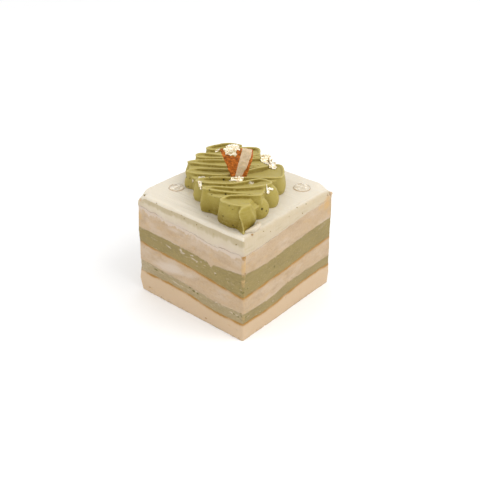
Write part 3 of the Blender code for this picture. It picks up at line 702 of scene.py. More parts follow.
# Marks that the knife left on the two faces that show, by what they are. Each row: place in the
# picture, half length and half thickness in mm, tilt in degrees, strength
FACE_MARKS = {
    "smear": (
        (168.7, 247.0, 1.8, 0.35, -14.0, 1.0), (180.8, 250.5, 0.8, 1.0, 30.0, 1.0),
        (182.5, 253.0, 1.6, 0.45, 8.0, 1.0), (192.0, 255.6, 1.2, 0.4, 10.0, 1.0),
        (193.6, 259.2, 2.0, 0.45, -8.0, 1.0), (197.0, 261.6, 0.8, 0.5, 40.0, 0.9),
        (201.0, 262.0, 0.5, 0.5, 0.0, 0.8), (204.6, 265.6, 0.9, 0.3, 0.0, 0.8),
        (196.5, 266.0, 0.9, 0.3, 10.0, 0.7), (164.6, 238.8, 1.0, 0.3, 0.0, 0.7),
        (154.0, 239.0, 2.6, 0.6, 0.0, 0.5), (148.0, 247.0, 3.0, 0.5, -5.0, 0.5),
        (156.0, 248.5, 2.2, 0.4, 0.0, 0.5), (174.0, 260.0, 1.6, 0.3, 0.0, 0.5),
        (215.0, 273.5, 0.9, 0.5, 20.0, 0.8), (232.0, 284.0, 1.8, 0.4, -20.0, 0.6),
        (229.0, 279.5, 2.2, 0.6, 10.0, 0.4), (240.5, 290.0, 1.2, 0.4, 0.0, 0.6),
        (176.0, 283.0, 3.4, 0.5, -8.0, 0.8), (181.5, 286.0, 2.0, 0.4, 0.0, 0.7),
        (189.0, 290.0, 1.4, 0.5, 0.0, 0.7), (196.0, 291.5, 1.6, 0.4, 10.0, 0.8),
        (216.0, 302.5, 1.2, 0.3, 35.0, 1.0), (219.0, 305.5, 1.2, 0.3, -30.0, 0.9),
        (231.0, 312.5, 1.5, 0.4, 0.0, 0.9), (236.5, 315.0, 1.6, 0.4, -10.0, 0.8),
        (161.0, 273.0, 3.0, 0.5, 0.0, 0.6), (149.0, 268.0, 3.4, 0.8, 0.0, 0.5),
        (170.5, 268.5, 9.5, 2.6, 8.0, 1.0), (187.0, 274.5, 5.0, 1.8, 5.0, 0.6),
        (172.0, 229.5, 5.0, 1.0, 0.0, 0.7), (196.0, 234.5, 4.5, 1.4, 0.0, 0.8),
        (212.0, 241.5, 4.0, 1.0, 0.0, 0.6), (226.0, 249.0, 4.5, 0.9, 0.0, 0.6),
        (291.0, 276.5, 1.4, 0.35, 20.0, 0.4), (273.0, 301.0, 0.55, 0.4, 0.0, 1.0),
        (260.4, 311.4, 0.5, 0.3, 0.0, 0.9), (256.6, 314.4, 0.5, 0.3, 0.0, 0.9),
        (248.5, 316.5, 1.4, 0.5, 0.0, 0.6), (270.4, 272.8, 0.6, 0.4, 0.0, 0.6),
        (322.0, 226.5, 4.0, 1.3, 12.0, 0.5),
    ),
    "green": (
        (193.6, 291.2, 1.0, 0.6, 0.0, 1.0), (197.6, 293.6, 0.8, 0.5, 0.0, 1.0),
        (190.0, 287.6, 0.9, 0.5, 0.0, 0.9), (156.0, 269.6, 1.6, 0.6, 0.0, 0.9),
        (162.4, 272.6, 1.2, 0.5, 0.0, 0.8), (215.6, 274.8, 0.4, 0.4, 0.0, 1.0),
        (241.6, 283.8, 1.2, 0.9, 0.0, 0.9), (229.0, 281.8, 0.9, 0.5, 0.0, 0.6),
        (234.0, 283.6, 0.5, 0.4, 0.0, 0.8), (244.6, 290.2, 0.9, 0.4, 0.0, 1.0),
        (242.2, 293.2, 0.6, 0.5, 0.0, 0.8), (248.0, 288.6, 0.6, 0.4, 0.0, 0.9),
        (274.5, 266.6, 0.6, 0.7, 0.0, 1.0), (246.2, 274.6, 0.6, 0.3, 0.0, 0.7),
        (250.6, 272.6, 0.5, 0.3, 0.0, 0.7), (248.6, 314.2, 0.5, 0.3, 0.0, 0.9),
        (234.0, 314.0, 0.8, 0.3, 0.0, 1.0), (238.0, 317.0, 0.8, 0.3, 20.0, 1.0),
        (241.0, 313.6, 0.6, 0.4, 0.0, 0.9), (246.0, 317.0, 0.9, 0.3, 0.0, 0.9),
        (220.0, 303.8, 0.5, 0.3, 0.0, 0.8), (291.4, 276.4, 1.2, 0.3, 20.0, 0.4),
        (221.0, 290.0, 2.4, 0.9, 0.0, 0.35), (325.0, 258.6, 2.2, 0.5, 10.0, 0.3),
    ),
    "warm": (
        (327.5, 203.5, 3.2, 3.4, 0.0, 1.0), (321.0, 207.0, 2.4, 1.6, 20.0, 0.8),
        (329.5, 211.5, 1.6, 2.2, 0.0, 0.7), (318.5, 211.5, 2.0, 1.6, 0.0, 0.4),
        (139.0, 215.0, 2.0, 2.6, 0.0, 0.8), (139.5, 224.0, 1.6, 2.0, 0.0, 0.5),
        (141.0, 282.0, 1.8, 2.0, 0.0, 0.7), (150.0, 288.0, 4.0, 0.9, 0.0, 0.5),
        (244.5, 268.0, 1.3, 5.0, 0.0, 0.9), (242.2, 270.0, 0.7, 4.0, 0.0, 0.8),
        (242.5, 284.0, 1.2, 2.6, 0.0, 0.6), (244.0, 303.0, 0.8, 6.0, 0.0, 0.5),
        (243.0, 320.0, 1.5, 2.0, 0.0, 0.5), (250.0, 256.0, 3.0, 0.5, 30.0, 0.5),
        (200.0, 285.0, 2.0, 0.7, 0.0, 0.4), (213.0, 290.5, 2.0, 0.7, 0.0, 0.4),
    ),
    "crust": (
        (243.9, 259.0, 1.3, 0.9, 0.0, 1.1), (246.6, 256.8, 1.6, 0.4, 30.0, 0.5),
        (241.6, 256.4, 1.2, 0.4, -20.0, 0.4), (202.6, 305.4, 0.7, 0.3, 0.0, 0.4),
        (229.4, 325.4, 0.8, 0.4, 0.0, 0.35), (215.2, 248.8, 0.4, 0.3, 0.0, 0.35),
        (244.4, 273.6, 0.5, 0.5, 0.0, 0.4), (296.6, 245.2, 0.5, 0.3, 0.0, 0.2),
    ),
}


def face_marks(stage, half):
    """Turns the marks' picture places into places on the front left or the front right face."""
    found = {}
    for kind, rows in FACE_MARKS.items():
        found[kind] = []
        for across, down, length, thickness, tilt, strength in rows:
            origin, sight = sight_line(stage, across, down)
            for axis, level in ((1, -half), (0, half)):
                spot = origin + sight * ((level - origin[axis]) / sight[axis])
                if abs(spot[1 - axis]) <= half + 1.5 * MM:
                    found[kind].append((axis, level, spot[1 - axis], spot.z, cos(radians(tilt)),
                                        sin(radians(tilt)), length * MM, thickness * MM, strength))
                    break
            else:
                raise RuntimeError(f"the mark at {across}, {down} in the picture found no face")
    return found


def mark_at(marks, x, y, z):
    """The strongest mark at a place of the cut faces."""
    value = 0.0
    for axis, level, along, height, turn_cos, turn_sin, length, thickness, strength in marks:
        if abs((x, y)[axis] - level) > 1.2 * MM:
            continue
        away = (x, y)[1 - axis] - along
        rise = z - height
        run = (away * turn_cos + rise * turn_sin) / length
        lift = (rise * turn_cos - away * turn_sin) / thickness
        if run * run + lift * lift < 2.56:
            value = max(value, strength * soft_step((1.6 - (run * run + lift * lift) ** 0.5) / 1.3))
    return value


def sponge_marks(index, x, y, z, low, high, left_face):
    """General marks of a sponge: browned skin, pale veil, green from the cream below, and tone."""
    broken = 0.85 + 0.55 * grain(x, y, 0.0, 5.0 * MM, 50.0 + index)
    corner = soft_step((x + 29.0 * MM) / (5.0 * MM)) if left_face > 0.5 else 1.0
    crust = 0.0
    if index < TOP_SPONGE:
        below = high - z
        crust = 0.75 * soft_step(1.25 - below / (1.15 * MM)) + 0.42 * soft_step(1.0 - below / (2.8 * MM))
        crust *= broken * (0.3 + 0.7 * corner)
    reach = (0.45 + 1.0 * max(0.0, grain(x, y, 0.0, 7.0 * MM, 57.0 + index))) * MM
    green = 0.75 * soft_step(1.0 - (z - low) / reach)
    if index == BOTTOM_SPONGE:
        green = 0.8 * soft_step(1.0 - z / (0.9 * MM)) * (0.55 + 0.8 * grain(x, y, z, 4.0 * MM, 61.0))
    smear = 0.35 * left_face * max(0.0, grain(x, y, z * 1.4, 12.0 * MM, 60.0))
    if index == TOP_SPONGE:
        drip = 1.7 + 1.5 * grain(x, y, 0.0, 4.5 * MM, 64.0) + 1.3 * grain(x, y, 0.0, 1.3 * MM, 65.0)
        spread = soft_step((1.15 - (high - z) / (max(drip, 0.4) * MM)) / 0.45)
        blotch = soft_step((grain(x, y, z, 1.6 * MM, 68.0) - 0.12) / 0.2)
        blotch *= soft_step(1.0 - (high - z) / (6.5 * MM))
        smear = max(smear, left_face * 1.1 * spread, left_face * 0.6 * blotch)
        smear = max(smear, (1.0 - left_face) * 0.4 * soft_step(1.0 - (high - z) / (1.6 * MM)))
    tone = 1.0 if index == BOTTOM_SPONGE else 0.0
    return {"crust": crust, "smear": smear, "green": green, "warm": 0.0, "tone": tone}


def cream_marks(index, x, y, z, low, high, left_face, half):
    """General marks of a matcha cream: soft upper edge, pale veil, dark wet places by the corner."""
    front = soft_step(1.0 - (Vector((half, -half)) - Vector((x, y))).length / (6.0 * MM))
    broken = 0.85 + 0.55 * grain(x, y, 0.0, 5.0 * MM, 50.0 + index - 1)
    crust = 0.75 * soft_step(1.1 - (z - low) / (0.8 * MM)) * broken
    streak = grain(x * 0.5, y * 0.5, z * 1.2, 1.5 * MM, 62.0)
    smear = left_face * (0.1 + 0.5 * max(0.0, streak))
    reach = (0.3 + 0.9 * max(0.0, grain(x, y, 0.0, 6.0 * MM, 66.0 + index))) * MM
    smear = max(smear, 0.85 * soft_step(1.0 - (high - z) / reach))
    left_end = soft_step(1.0 - (Vector((-half, -half)) - Vector((x, y))).length / (14.0 * MM))
    if index == LOWER_CREAM:
        smear = max(smear, left_face * 0.35 + 0.25 * left_end)
    green = front * (0.35 + 0.9 * grain(x, y, z, 1.1 * MM, 67.0))
    tone = 0.15 + 0.25 * left_face if index == LOWER_CREAM else 0.06
    return {"crust": crust, "smear": smear, "green": green, "warm": 0.0, "tone": tone}


def stack_layer(name, index, stations, heights, sizes, marks):
    """One layer: finely divided walls round the square and plain faces between the layers."""
    sponge = name.startswith("sponge")
    thickness = sum(row[index + 1] - row[index] for row in heights) / len(heights)
    rows = max(6, round(thickness / sizes.wall_cell))
    verts = []
    painted = {kind: [] for kind in ("crust", "smear", "green", "warm", "tone")}
    count = len(stations)
    half = sizes.half_side
    for row in range(rows + 1):
        t = row / rows
        for (place, out), levels in zip(stations, heights):
            low = ragged_seam(place, levels[index], index)
            high = ragged_seam(place, levels[index + 1], index + 1)
            z = low + (high - low) * t
            x = place.x
            y = place.y
            back = 0.16 * MM * grain(x, y, z, 16.0 * MM, 30.0)
            back += crumb_relief(x, y, z, sizes.crumb_depth) if sponge else cream_relief(x, y, z) - 0.05 * MM
            radial = place.normalized() * corner_pull(x, y, z, half)
            verts.append((x + out.x * back + radial.x, y + out.y * back + radial.y, z))
            left_face = soft_step((-y - half + 0.6 * MM) / (0.5 * MM))
            if sponge:
                general = sponge_marks(index, x, y, z, low, high, left_face)
            else:
                general = cream_marks(index, x, y, z, low, high, left_face, half)
            for kind, values in painted.items():
                values.append(max(general[kind], mark_at(marks.get(kind, ()), x, y, z)))
    faces = []
    for row in range(rows):
        join_rings(faces, row * count, (row + 1) * count, count)
    for start, level, upward in ((0, index, False), (rows * count, index + 1, True)):
        last = start
        sample = [row[level] for row in heights[::40]]
        mean = sum(sample) / len(sample)
        for share in (0.95, 0.5):
            first = len(verts)
            for (place, out), levels in zip(stations, heights):
                z = levels[level] * share + mean * (1.0 - share)
                verts.append((place.x * share, place.y * share, z))
            for values in painted.values():
                values += [0.0] * count
            if upward:
                join_rings(faces, last, first, count)
            else:
                join_rings(faces, first, last, count)
            last = first
        close_ring(faces, last, count, upward)
    piece = mesh_object(name + "_cut", verts, faces)
    paint_all(piece, painted)
    return piece


LEFT_CORNER_SAG = 2.4 * MM
LEFT_CORNER_REACH = 6.0 * MM
RIGHT_CORNER_SAG = 1.5 * MM
RIGHT_CORNER_REACH = 9.0 * MM


def icing_height(x, y, sizes):
    """Level icing with two sunk corners and the long shallow lines of the spatula."""
    z = sizes.icing_level
    half = sizes.half_side
    left = (Vector((x + half, y + half))).length
    right = (Vector((x - half, y - half))).length
    z -= LEFT_CORNER_SAG * soft_step(1.0 - left / LEFT_CORNER_REACH)
    z -= RIGHT_CORNER_SAG * soft_step(1.0 - right / RIGHT_CORNER_REACH)
    z += 0.13 * MM * grain(x * 0.12, y, 0.0, 2.6 * MM, 70.0)
    z += 0.09 * MM * grain(x * 0.07, y, 0.0, 0.9 * MM, 71.0)
    z += 0.10 * MM * grain(x, y, 0.0, 9.0 * MM, 72.0)
    return z


def rounded_corner(x, y, half, corner):
    """Moves a place of a square grid so that the square's corners become round."""
    over_x = max(abs(x) - (half - corner), 0.0)
    over_y = max(abs(y) - (half - corner), 0.0)
    length = (over_x ** 2 + over_y ** 2) ** 0.5
    if length < 1e-9:
        return x, y
    share = max(over_x, over_y) / length
    new_x = min(abs(x), half - corner) + over_x * share
    new_y = min(abs(y), half - corner) + over_y * share
    return (new_x if x > 0 else -new_x), (new_y if y > 0 else -new_y)


ICING_OVERHANG = 0.12 * MM
ICING_THICKNESS = 7.0 * MM
RIGHT_RIM_SHARE = 1.7
GROOVE_PLACE = 2.6 * MM
GROOVE_WIDTH = 0.55 * MM
GROOVE_DEPTH = 0.22 * MM


def icing_top(sizes, marks, half, cells):
    """A fine grid with a rounded rim: its places, and one list of values for each kind of mark."""
    verts = []
    painted = {kind: [] for kind in ("side", "tint", "smear", "warm")}
    for j in range(cells + 1):
        for i in range(cells + 1):
            x = -half + 2.0 * half * i / cells
            y = -half + 2.0 * half * j / cells
            inside = half - max(abs(x), abs(y))
            on_right = soft_step((x - half + 6.0 * MM) / (3.0 * MM)) if x > -y else 0.0
            x, y = rounded_corner(x, y, half, sizes.corner_round)
            rim = sizes.icing_rim * (1.0 + 0.4 * grain(x, y, 0.0, 8.0 * MM, 73.0))
            rim *= 1.0 + (RIGHT_RIM_SHARE - 1.0) * on_right
            fall = max(0.0, 1.0 - inside / rim)
            groove = soft_step(1.0 - abs(inside - GROOVE_PLACE) / GROOVE_WIDTH)
            groove *= on_right * (0.5 + 0.8 * grain(x, y * 0.3, 0.0, 4.0 * MM, 74.0))
            z = icing_height(x, y, sizes) - rim * (1.0 - (1.0 - fall * fall) ** 0.5) * 0.9
            z -= GROOVE_DEPTH * groove
            spread = Vector((x, y)).normalized() * corner_pull(x, y, z, sizes.half_side)
            verts.append((x + spread.x, y + spread.y, z))
            # The rim takes the side colour as it turns down, most on the right: painted shade by its slope
            painted["side"].append(0.85 * fall * on_right + 0.3 * fall)
            painted["tint"].append(0.45 * groove + 0.2 * fall)
            painted["smear"].append(0.0)
            painted["warm"].append(mark_at(marks["warm"], x, y, z) * fall)
    return verts, painted


def icing_feet(verts, border, share):
    """Height of the icing's ragged foot under each place of the grid's border."""
    icing = node_reader("top_icing")
    sponge = node_reader("sponge_top")
    feet = []
    for index in border:
        x, y, z = verts[index]
        foot = (icing(x * 0.95, y * 0.95)[0] + sponge(x * 0.95, y * 0.95)[1]) / 2.0
        feet.append(ragged_seam(Vector((x, y)) * share, foot, ICING_SEAM))
    return feet


def icing_block(sizes, marks):
    """The icing: a fine grid for its top, and walls that hang from the grid's border."""
    half = sizes.half_side + ICING_OVERHANG
    cells = round(2.0 * half / sizes.icing_cell)
    verts, painted = icing_top(sizes, marks, half, cells)
    border = list(range(cells))
    border += [cells + (cells + 1) * k for k in range(cells)]
    border += [(cells + 1) * (cells + 1) - 1 - k for k in range(cells)]
    border += [(cells + 1) * (cells - k) for k in range(cells)]
    faces = []
    for j in range(cells):
        for i in range(cells):
            a = j * (cells + 1) + i
            faces.append((a, a + 1, a + cells + 2, a + cells + 1))
    feet = icing_feet(verts, border, sizes.half_side / half)
    rows = max(8, round(ICING_THICKNESS / sizes.icing_cell))
    last = border
    for row in range(1, rows + 1):
        t = row / rows
        ring = []
        for place, index in enumerate(border):
            x, y, top = verts[index]
            z = top + (feet[place] - ICING_OVERHANG - top) * t
            out = Vector([value if abs(value) >= half * 0.97 else 0.0 for value in (x, y)]).normalized()
            on_left = soft_step((-y - half + 0.8 * MM) / (0.6 * MM))
            bulge = 0.10 * MM * sin(pi * t) + 0.14 * MM * grain(x, y, z, 4.0 * MM, 75.0)
            drag = 0.10 * MM * grain(x * 0.3, y * 0.3, z, 1.3 * MM, 76.0)
            upright = 0.07 * MM * on_left * grain(x, y, z * 0.12, 0.7 * MM, 80.0)
            soften = 0.35 * on_left
            tuck = -0.25 * MM * soft_step((t - 0.9 + soften) / (0.1 + soften))
            back = bulge + drag + tuck + upright
            bent = corner_pull(x, y, z, sizes.half_side) - corner_pull(x, y, top, sizes.half_side)
            spread = Vector((x, y)).normalized() * bent
            ring.append(len(verts))
            verts.append((x + out.x * back + spread.x, y + out.y * back + spread.y, z))
            ragged = 0.16 * grain(x, y, 0.0, 5.0 * MM, 77.0) + 0.12 * grain(x, y, 0.0, 1.4 * MM, 81.0)
            corner = soft_step((x + 28.0 * MM) / (2.5 * MM))
            band = soft_step(t / 0.05) * soft_step((0.56 + ragged - t) / 0.3) * corner
            streak = soft_step((grain(x * 0.15, y * 0.15, z, 0.9 * MM, 78.0) - 0.1) / 0.3)
            # The walls take the side colour: creamier icing, partly painted shade on the upright sides
            painted["side"].append(0.7 * on_left + 0.95 * (1.0 - on_left))
            painted["tint"].append(on_left * band + (1.0 - on_left) * 0.55 * streak * soft_step(t / 0.1))
            broken = 0.75 + 0.5 * grain(x, y, z, 3.0 * MM, 79.0)
            veil = soft_step((t - 0.42 - ragged) / 0.5) * on_left * broken
            veil += soft_step((t - 0.8) / 0.15) * (1.0 - on_left) * 0.7
            painted["smear"].append(veil)
            painted["warm"].append(mark_at(marks["warm"], x, y, z))
        for i in range(len(ring)):
            j = (i + 1) % len(ring)
            faces.append((last[j], last[i], ring[i], ring[j]))
        last = ring
    faces.append(tuple(reversed(last)))
    piece = mesh_object("icing_spread", verts, faces)
    paint_all(piece, painted)
    return piece


# Piped cream: the passes of the zigzag in mm, from the back corner to the front one.
# "ahead" runs toward the front corner and "across" to the right.
# Each row: ahead at the pass's first end, middle and last end, across at its two ends,
# crest height above the icing, backward slant of the wall below the crest, and the points
# that the turn after it goes through, as ahead and across.
PASSES = (
    (-31.0, -32.9, -31.3, 5.0, -8.0, 7.6, 0.5, ((-28.5, -11.3),)),
    (-26.4, -26.8, -27.7, -8.0, 9.2, 7.8, 0.5, ((-26.8, 12.0), (-20.6, 11.8))),
    (-19.0, -18.0, -22.1, 9.5, -13.2, 8.0, 0.8, ((-21.6, -15.9), (-18.9, -15.9))),
    (-17.6, -15.8, -17.0, -13.5, 12.6, 8.0, 0.8, ((-16.3, 15.4),)),
    (-15.5, -13.4, -14.6, 12.8, -16.8, 8.0, 1.0, ((-13.3, -20.0),)),
    (-11.5, -6.6, -7.6, -17.5, 14.1, 8.2, 1.0, ((-7.2, 17.4),)),
    (-6.6, -3.4, -5.4, 13.8, -17.5, 8.2, 1.5, ((-2.8, -20.5),)),
    (-0.3, 2.8, -3.8, -17.5, 9.6, 8.6, 1.5, ((-5.8, 19.3), (5.6, 19.0))),
    (7.3, 7.2, 6.0, 17.0, -13.7, 9.2, 1.6, ((9.2, -17.0),)),
    (12.4, 14.8, 10.6, -13.5, 9.0, 10.2, 1.6, ((14.3, 13.3),)),
    (18.0, 20.2, 17.6, 9.0, -11.0, 10.8, 0.8, ((19.2, -14.6),)),
    (20.9, 25.2, 26.4, -12.6, 6.4, 11.3, 1.6, ((27.0, 8.0),)),
    (28.0, 28.3, 28.0, 5.2, -4.9, 11.6, 3.6, ((30.4, -8.1),)),
    (33.6, 36.6, 36.4, -6.2, 1.4, 11.6, 3.4, ()),
)
PASS_STATION = 0.45 * MM
PASS_CROWN = 0.35
TURN_DIP = 0.1
TURN_WINDOW = 13.0 * MM
TURN_LENGTH = 4.0
WALL_FLARE = 1.3 * MM
LIP_HALF = 0.42 * MM
LIP_UNDERCUT = 0.15 * MM
STEP_BASE = 0.9
STEP_PER_GAP = 0.09
HOLLOW_PER_GAP = 0.035
CREASE_FILL = 1.6
OPEN_END_DROP = 3.2
OPEN_END_REACH = 0.24
BAND_ROWS = 44
BAND_CELLS = 9

# Tail of the piping: its sharp lip from the top down to the icing, as ahead, across and height
# above the icing, then where its left and right sides stand at the foot and at the top
TAIL_LIP = ((36.8, 1.6, 11.7), (38.2, -0.8, 11.0), (39.3, -2.1, 9.6), (38.8, -1.6, 7.6),
            (38.4, -0.8, 5.6), (38.2, -0.3, 3.6), (38.4, 0.1, 1.8), (39.6, 0.0, 0.0))
TAIL_LEFT_FOOT = (33.6, -3.0)
TAIL_LEFT_TOP = (35.4, -1.4)
TAIL_RIGHT_FOOT = (28.0, 6.0)
TAIL_RIGHT_TOP = (35.9, 2.9)
TAIL_BACK = (27.0, 0.5)
TAIL_BACK_SHARE = 0.7
TAIL_SWELL = 1.0

# Rounded right sides of the last two wide lobes, in mm: centre ahead, across and above the icing,
# and the three radii
SHOULDERS = (
    ((14.2, 11.0, 3.1), (4.3, 5.7, 6.6)),
    ((23.3, 4.7, 3.1), (4.6, 6.9, 6.2)),
)


def crest_guides():
    """The zigzag's guide points: both ends and the middle of each pass, and each turn.

    Also returns, for each pass, which guide is its first end and which its last.
    """
    guides = []
    ends = []
    for number, (first, middle, last, start, end, height, slant, turn) in enumerate(PASSES):
        ends.append((len(guides), len(guides) + 2))
        guides.append((first, start, height, slant))
        guides.append((middle, (start + end) / 2.0, height + PASS_CROWN, slant))
        guides.append((last, end, height, slant))
        for ahead, across in turn:
            following = PASSES[number + 1]
            rise = (height + following[5]) / 2.0 - TURN_DIP
            guides.append((ahead, across, rise, (slant + following[6]) / 2.0))
    return [Vector(guide) for guide in guides], ends


def smooth_path(guides, spacing):
    """A centripetal curve through the guides, read at even steps, with each guide's index."""
    path = []
    marks = []
    for i in range(len(guides) - 1):
        p0 = guides[max(i - 1, 0)]
        p1 = guides[i]
        p2 = guides[i + 1]
        p3 = guides[min(i + 2, len(guides) - 1)]
        k0 = max((p1 - p0).length, 0.01) ** 0.5
        k1 = (p2 - p1).length ** 0.5
        k2 = max((p3 - p2).length, 0.01) ** 0.5
        away = (p2 - p1) if i == 0 else (p2 - p1) - (p2 - p0) * k1 / (k0 + k1) + (p1 - p0) * k1 / k0
        home = (p3 - p2) * k1 / k2 - (p3 - p1) * k1 / (k1 + k2) + (p2 - p1)
        marks.append(len(path))
        steps = max(2, int((p2 - p1).length * MM / spacing))
        for step in range(steps):
            t = step / steps
            path.append(p1 * (2 * t ** 3 - 3 * t ** 2 + 1) + away * (t ** 3 - 2 * t ** 2 + t)
                        + p2 * (3 * t ** 2 - 2 * t ** 3) + home * (t ** 3 - t ** 2))
    marks.append(len(path))
    path.append(guides[-1].copy())
    return path, marks


def path_point(path, place):
    low = min(max(int(place), 0), len(path) - 2)
    return path[low].lerp(path[low + 1], min(max(place - low, 0.0), 1.0))


def half_profile(steep, depth):
    """One side of the ribbon's section, as outward distance and depth below the crest.

    A steep side drops under the lip and swells toward its foot. The other side is a plain back.
    """
    wall = ((LIP_HALF, 0.12 * MM), (LIP_UNDERCUT, 1.1 * MM), (0.5 * MM, 2.8 * MM),
            (WALL_FLARE * 0.75, depth * 0.5), (WALL_FLARE, depth * 0.75), (WALL_FLARE * 0.7, depth))
    back = ((LIP_HALF, 0.1 * MM), (LIP_HALF * 1.8, 0.7 * MM), (LIP_HALF * 2.6, 2.0 * MM),
            (LIP_HALF * 2.8, depth * 0.5), (LIP_HALF * 2.8, depth * 0.75), (LIP_HALF * 2.8, depth))
    return [(w[0] * steep + s[0] * (1.0 - steep), w[1] * steep + s[1] * (1.0 - steep))
            for w, s in zip(wall, back)]


def closed_body(bm, rings):
    """Faces over a row of closed rings of points, and over its two ends."""
    for low, high in zip(rings, rings[1:]):
        for i in range(len(low)):
            j = (i + 1) % len(low)
            bm.faces.new((low[i], low[j], high[j], high[i]))
    bm.faces.new(list(reversed(rings[0])))
    bm.faces.new(rings[-1])
    return bm


def ribbon_bmesh(path, level):
    """The crest of the piped ribbon as a wall with a lip, run along the zigzag."""
    bm = bmesh.new()
    rings = []
    window = int(TURN_WINDOW / PASS_STATION)
    for i, here in enumerate(path):
        run = path[min(i + 1, len(path) - 1)] - path[max(i - 1, 0)]
        heading = Vector((run.x, run.y)).normalized()
        left = Vector((-heading.y, heading.x))
        near = [p.y for p in path[max(i - window, 0):i + window + 1]]
        if here.y < 0.0:
            aside = -soft_step(1.0 - (here.y - min(near)) / TURN_LENGTH)
        else:
            aside = soft_step(1.0 - (max(near) - here.y) / TURN_LENGTH)
        front = Vector((1.0 - abs(aside), aside)).normalized()
        lean = max(-1.0, min(1.0, 1.4 * left.dot(front)))
        depth = here.z * MM
        ring = [(0.0, 0.0)]
        ring += half_profile(0.5 + 0.5 * lean, depth)
        ring += [(-d, h) for d, h in reversed(half_profile(0.5 - 0.5 * lean, depth))]
        verts = []
        for outward, down in ring:
            shear = here.w * (down / depth) ** 1.2
            ahead = here.x + left.x * outward / MM - shear
            across = here.y + left.y * outward / MM
            verts.append(bm.verts.new(from_leaf(ahead, across, level + depth - down)))
        rings.append(verts)
    return closed_body(bm, rings)


def band_bmesh(path, level, first, turn, last, drop):
    """The body between two passes that one turn joins.

    Its top starts a step below the crest behind it and rises to the crest in front. At an end
    that no turn closes, it drops and rolls over.
    """
    bm = bmesh.new()
    tops = []
    feet = []
    for n in range(BAND_ROWS + 1):
        u = 0.985 * n / BAND_ROWS
        behind = path_point(path, first + (turn - first) * u)
        ahead = path_point(path, last + (turn - last) * u)
        gap = (ahead - behind).length
        closing = soft_step((u - 0.72) / 0.28)
        step = (STEP_BASE + STEP_PER_GAP * gap) * (1.0 - 0.75 * closing)
        hollow = HOLLOW_PER_GAP * gap * (0.4 + 0.6 * soft_step((u - 0.4) / 0.4))
        low = behind.z - step
        high = ahead.z - 0.3
        row_top = []
        row_foot = []
        for m in range(BAND_CELLS + 1):
            s = m / BAND_CELLS
            place = behind.lerp(ahead, s)
            z = low + (high - low) * s ** 1.2 - hollow * sin(pi * s)
            z -= drop * soft_step(1.0 - u / OPEN_END_REACH)
            row_top.append(bm.verts.new(from_leaf(place.x, place.y, level + z * MM)))
            row_foot.append(bm.verts.new(from_leaf(place.x - place.w, place.y, level)))
        tops.append(row_top)
        feet.append(row_foot)
    for n in range(BAND_ROWS):
        for m in range(BAND_CELLS):
            bm.faces.new((tops[n][m], tops[n][m + 1], tops[n + 1][m + 1], tops[n + 1][m]))
            bm.faces.new((feet[n][m], feet[n + 1][m], feet[n + 1][m + 1], feet[n][m + 1]))
        for m in (0, BAND_CELLS):
            bm.faces.new((tops[n][m], tops[n + 1][m], feet[n + 1][m], feet[n][m]))
    for n in (0, BAND_ROWS):
        for m in range(BAND_CELLS):
            bm.faces.new((tops[n][m], tops[n][m + 1], feet[n][m + 1], feet[n][m]))
    return bm


def zigzag_meshes(level):
    """The ribbon, and a body between each two passes."""
    guides, ends = crest_guides()
    path, marks = smooth_path(guides, PASS_STATION)
    parts = [ribbon_bmesh(path, level)]
    for number in range(len(PASSES) - 1):
        first = marks[ends[number][0]]
        turn = (marks[ends[number][1]] + marks[ends[number + 1][0]]) / 2.0
        last = marks[ends[number + 1][1]]
        spread = CREASE_FILL / (PASS_STATION / MM)
        drop = OPEN_END_DROP if number == len(PASSES) - 2 else 0.0
        parts.append(band_bmesh(path, level, first - spread, turn, last + spread, drop))
    return parts


def tail_bmesh(level):
    """The fold that ends the piping: a sharp lip in front, run down to the icing."""
    bm = bmesh.new()
    rings = []
    for ahead, across, height in TAIL_LIP:
        t = height / TAIL_LIP[0][2]
        left, right = [[foot * (1 - t) + top * t for foot, top in zip(*side)]
                       for side in ((TAIL_LEFT_FOOT, TAIL_LEFT_TOP), (TAIL_RIGHT_FOOT, TAIL_RIGHT_TOP))]
        right[1] += TAIL_SWELL * sin(pi * t)
        bulge = 0.5 + 0.9 * sin(pi * t)
        ring = [(ahead, across),
                ((ahead * 2 + right[0]) / 3 + bulge * 0.4, (across * 2 + right[1]) / 3 + bulge * 0.7),
                ((ahead + right[0] * 2) / 3 + bulge * 0.5, (across + right[1] * 2) / 3 + bulge),
                right,
                (TAIL_BACK[0], right[1]),
                (TAIL_BACK[0], left[1]),
                left,
                ((ahead + left[0]) / 2, (across + left[1]) / 2 + 0.2)]
        ring_verts = []
        for place, (p, q) in enumerate(ring):
            share = TAIL_BACK_SHARE if place in (4, 5) else 1.0
            ring_verts.append(bm.verts.new(from_leaf(p, q, level + height * share * MM)))
        rings.append(ring_verts)
    return closed_body(bm, rings)


def shoulder_bmesh(level, centre, radii):
    """The rounded right side of a wide lobe."""
    bm = bmesh.new()
    bmesh.ops.create_uvsphere(bm, u_segments=48, v_segments=32, radius=MM)
    ahead, across, height = centre
    place = Matrix.Translation(from_leaf(ahead, across, level + height * MM))
    turned = place @ Matrix.Rotation(radians(-45.0), 4, "Z")
    bmesh.ops.transform(bm, matrix=turned @ Matrix.Diagonal(radii + (1.0,)), verts=bm.verts)
    return bm


def rows_of(items, name, width, kind):
    """One row of values for each point or edge of a mesh."""
    values = np.empty(len(items) * width, dtype=kind)
    items.foreach_get(name, values)
    return values.reshape(-1, width)


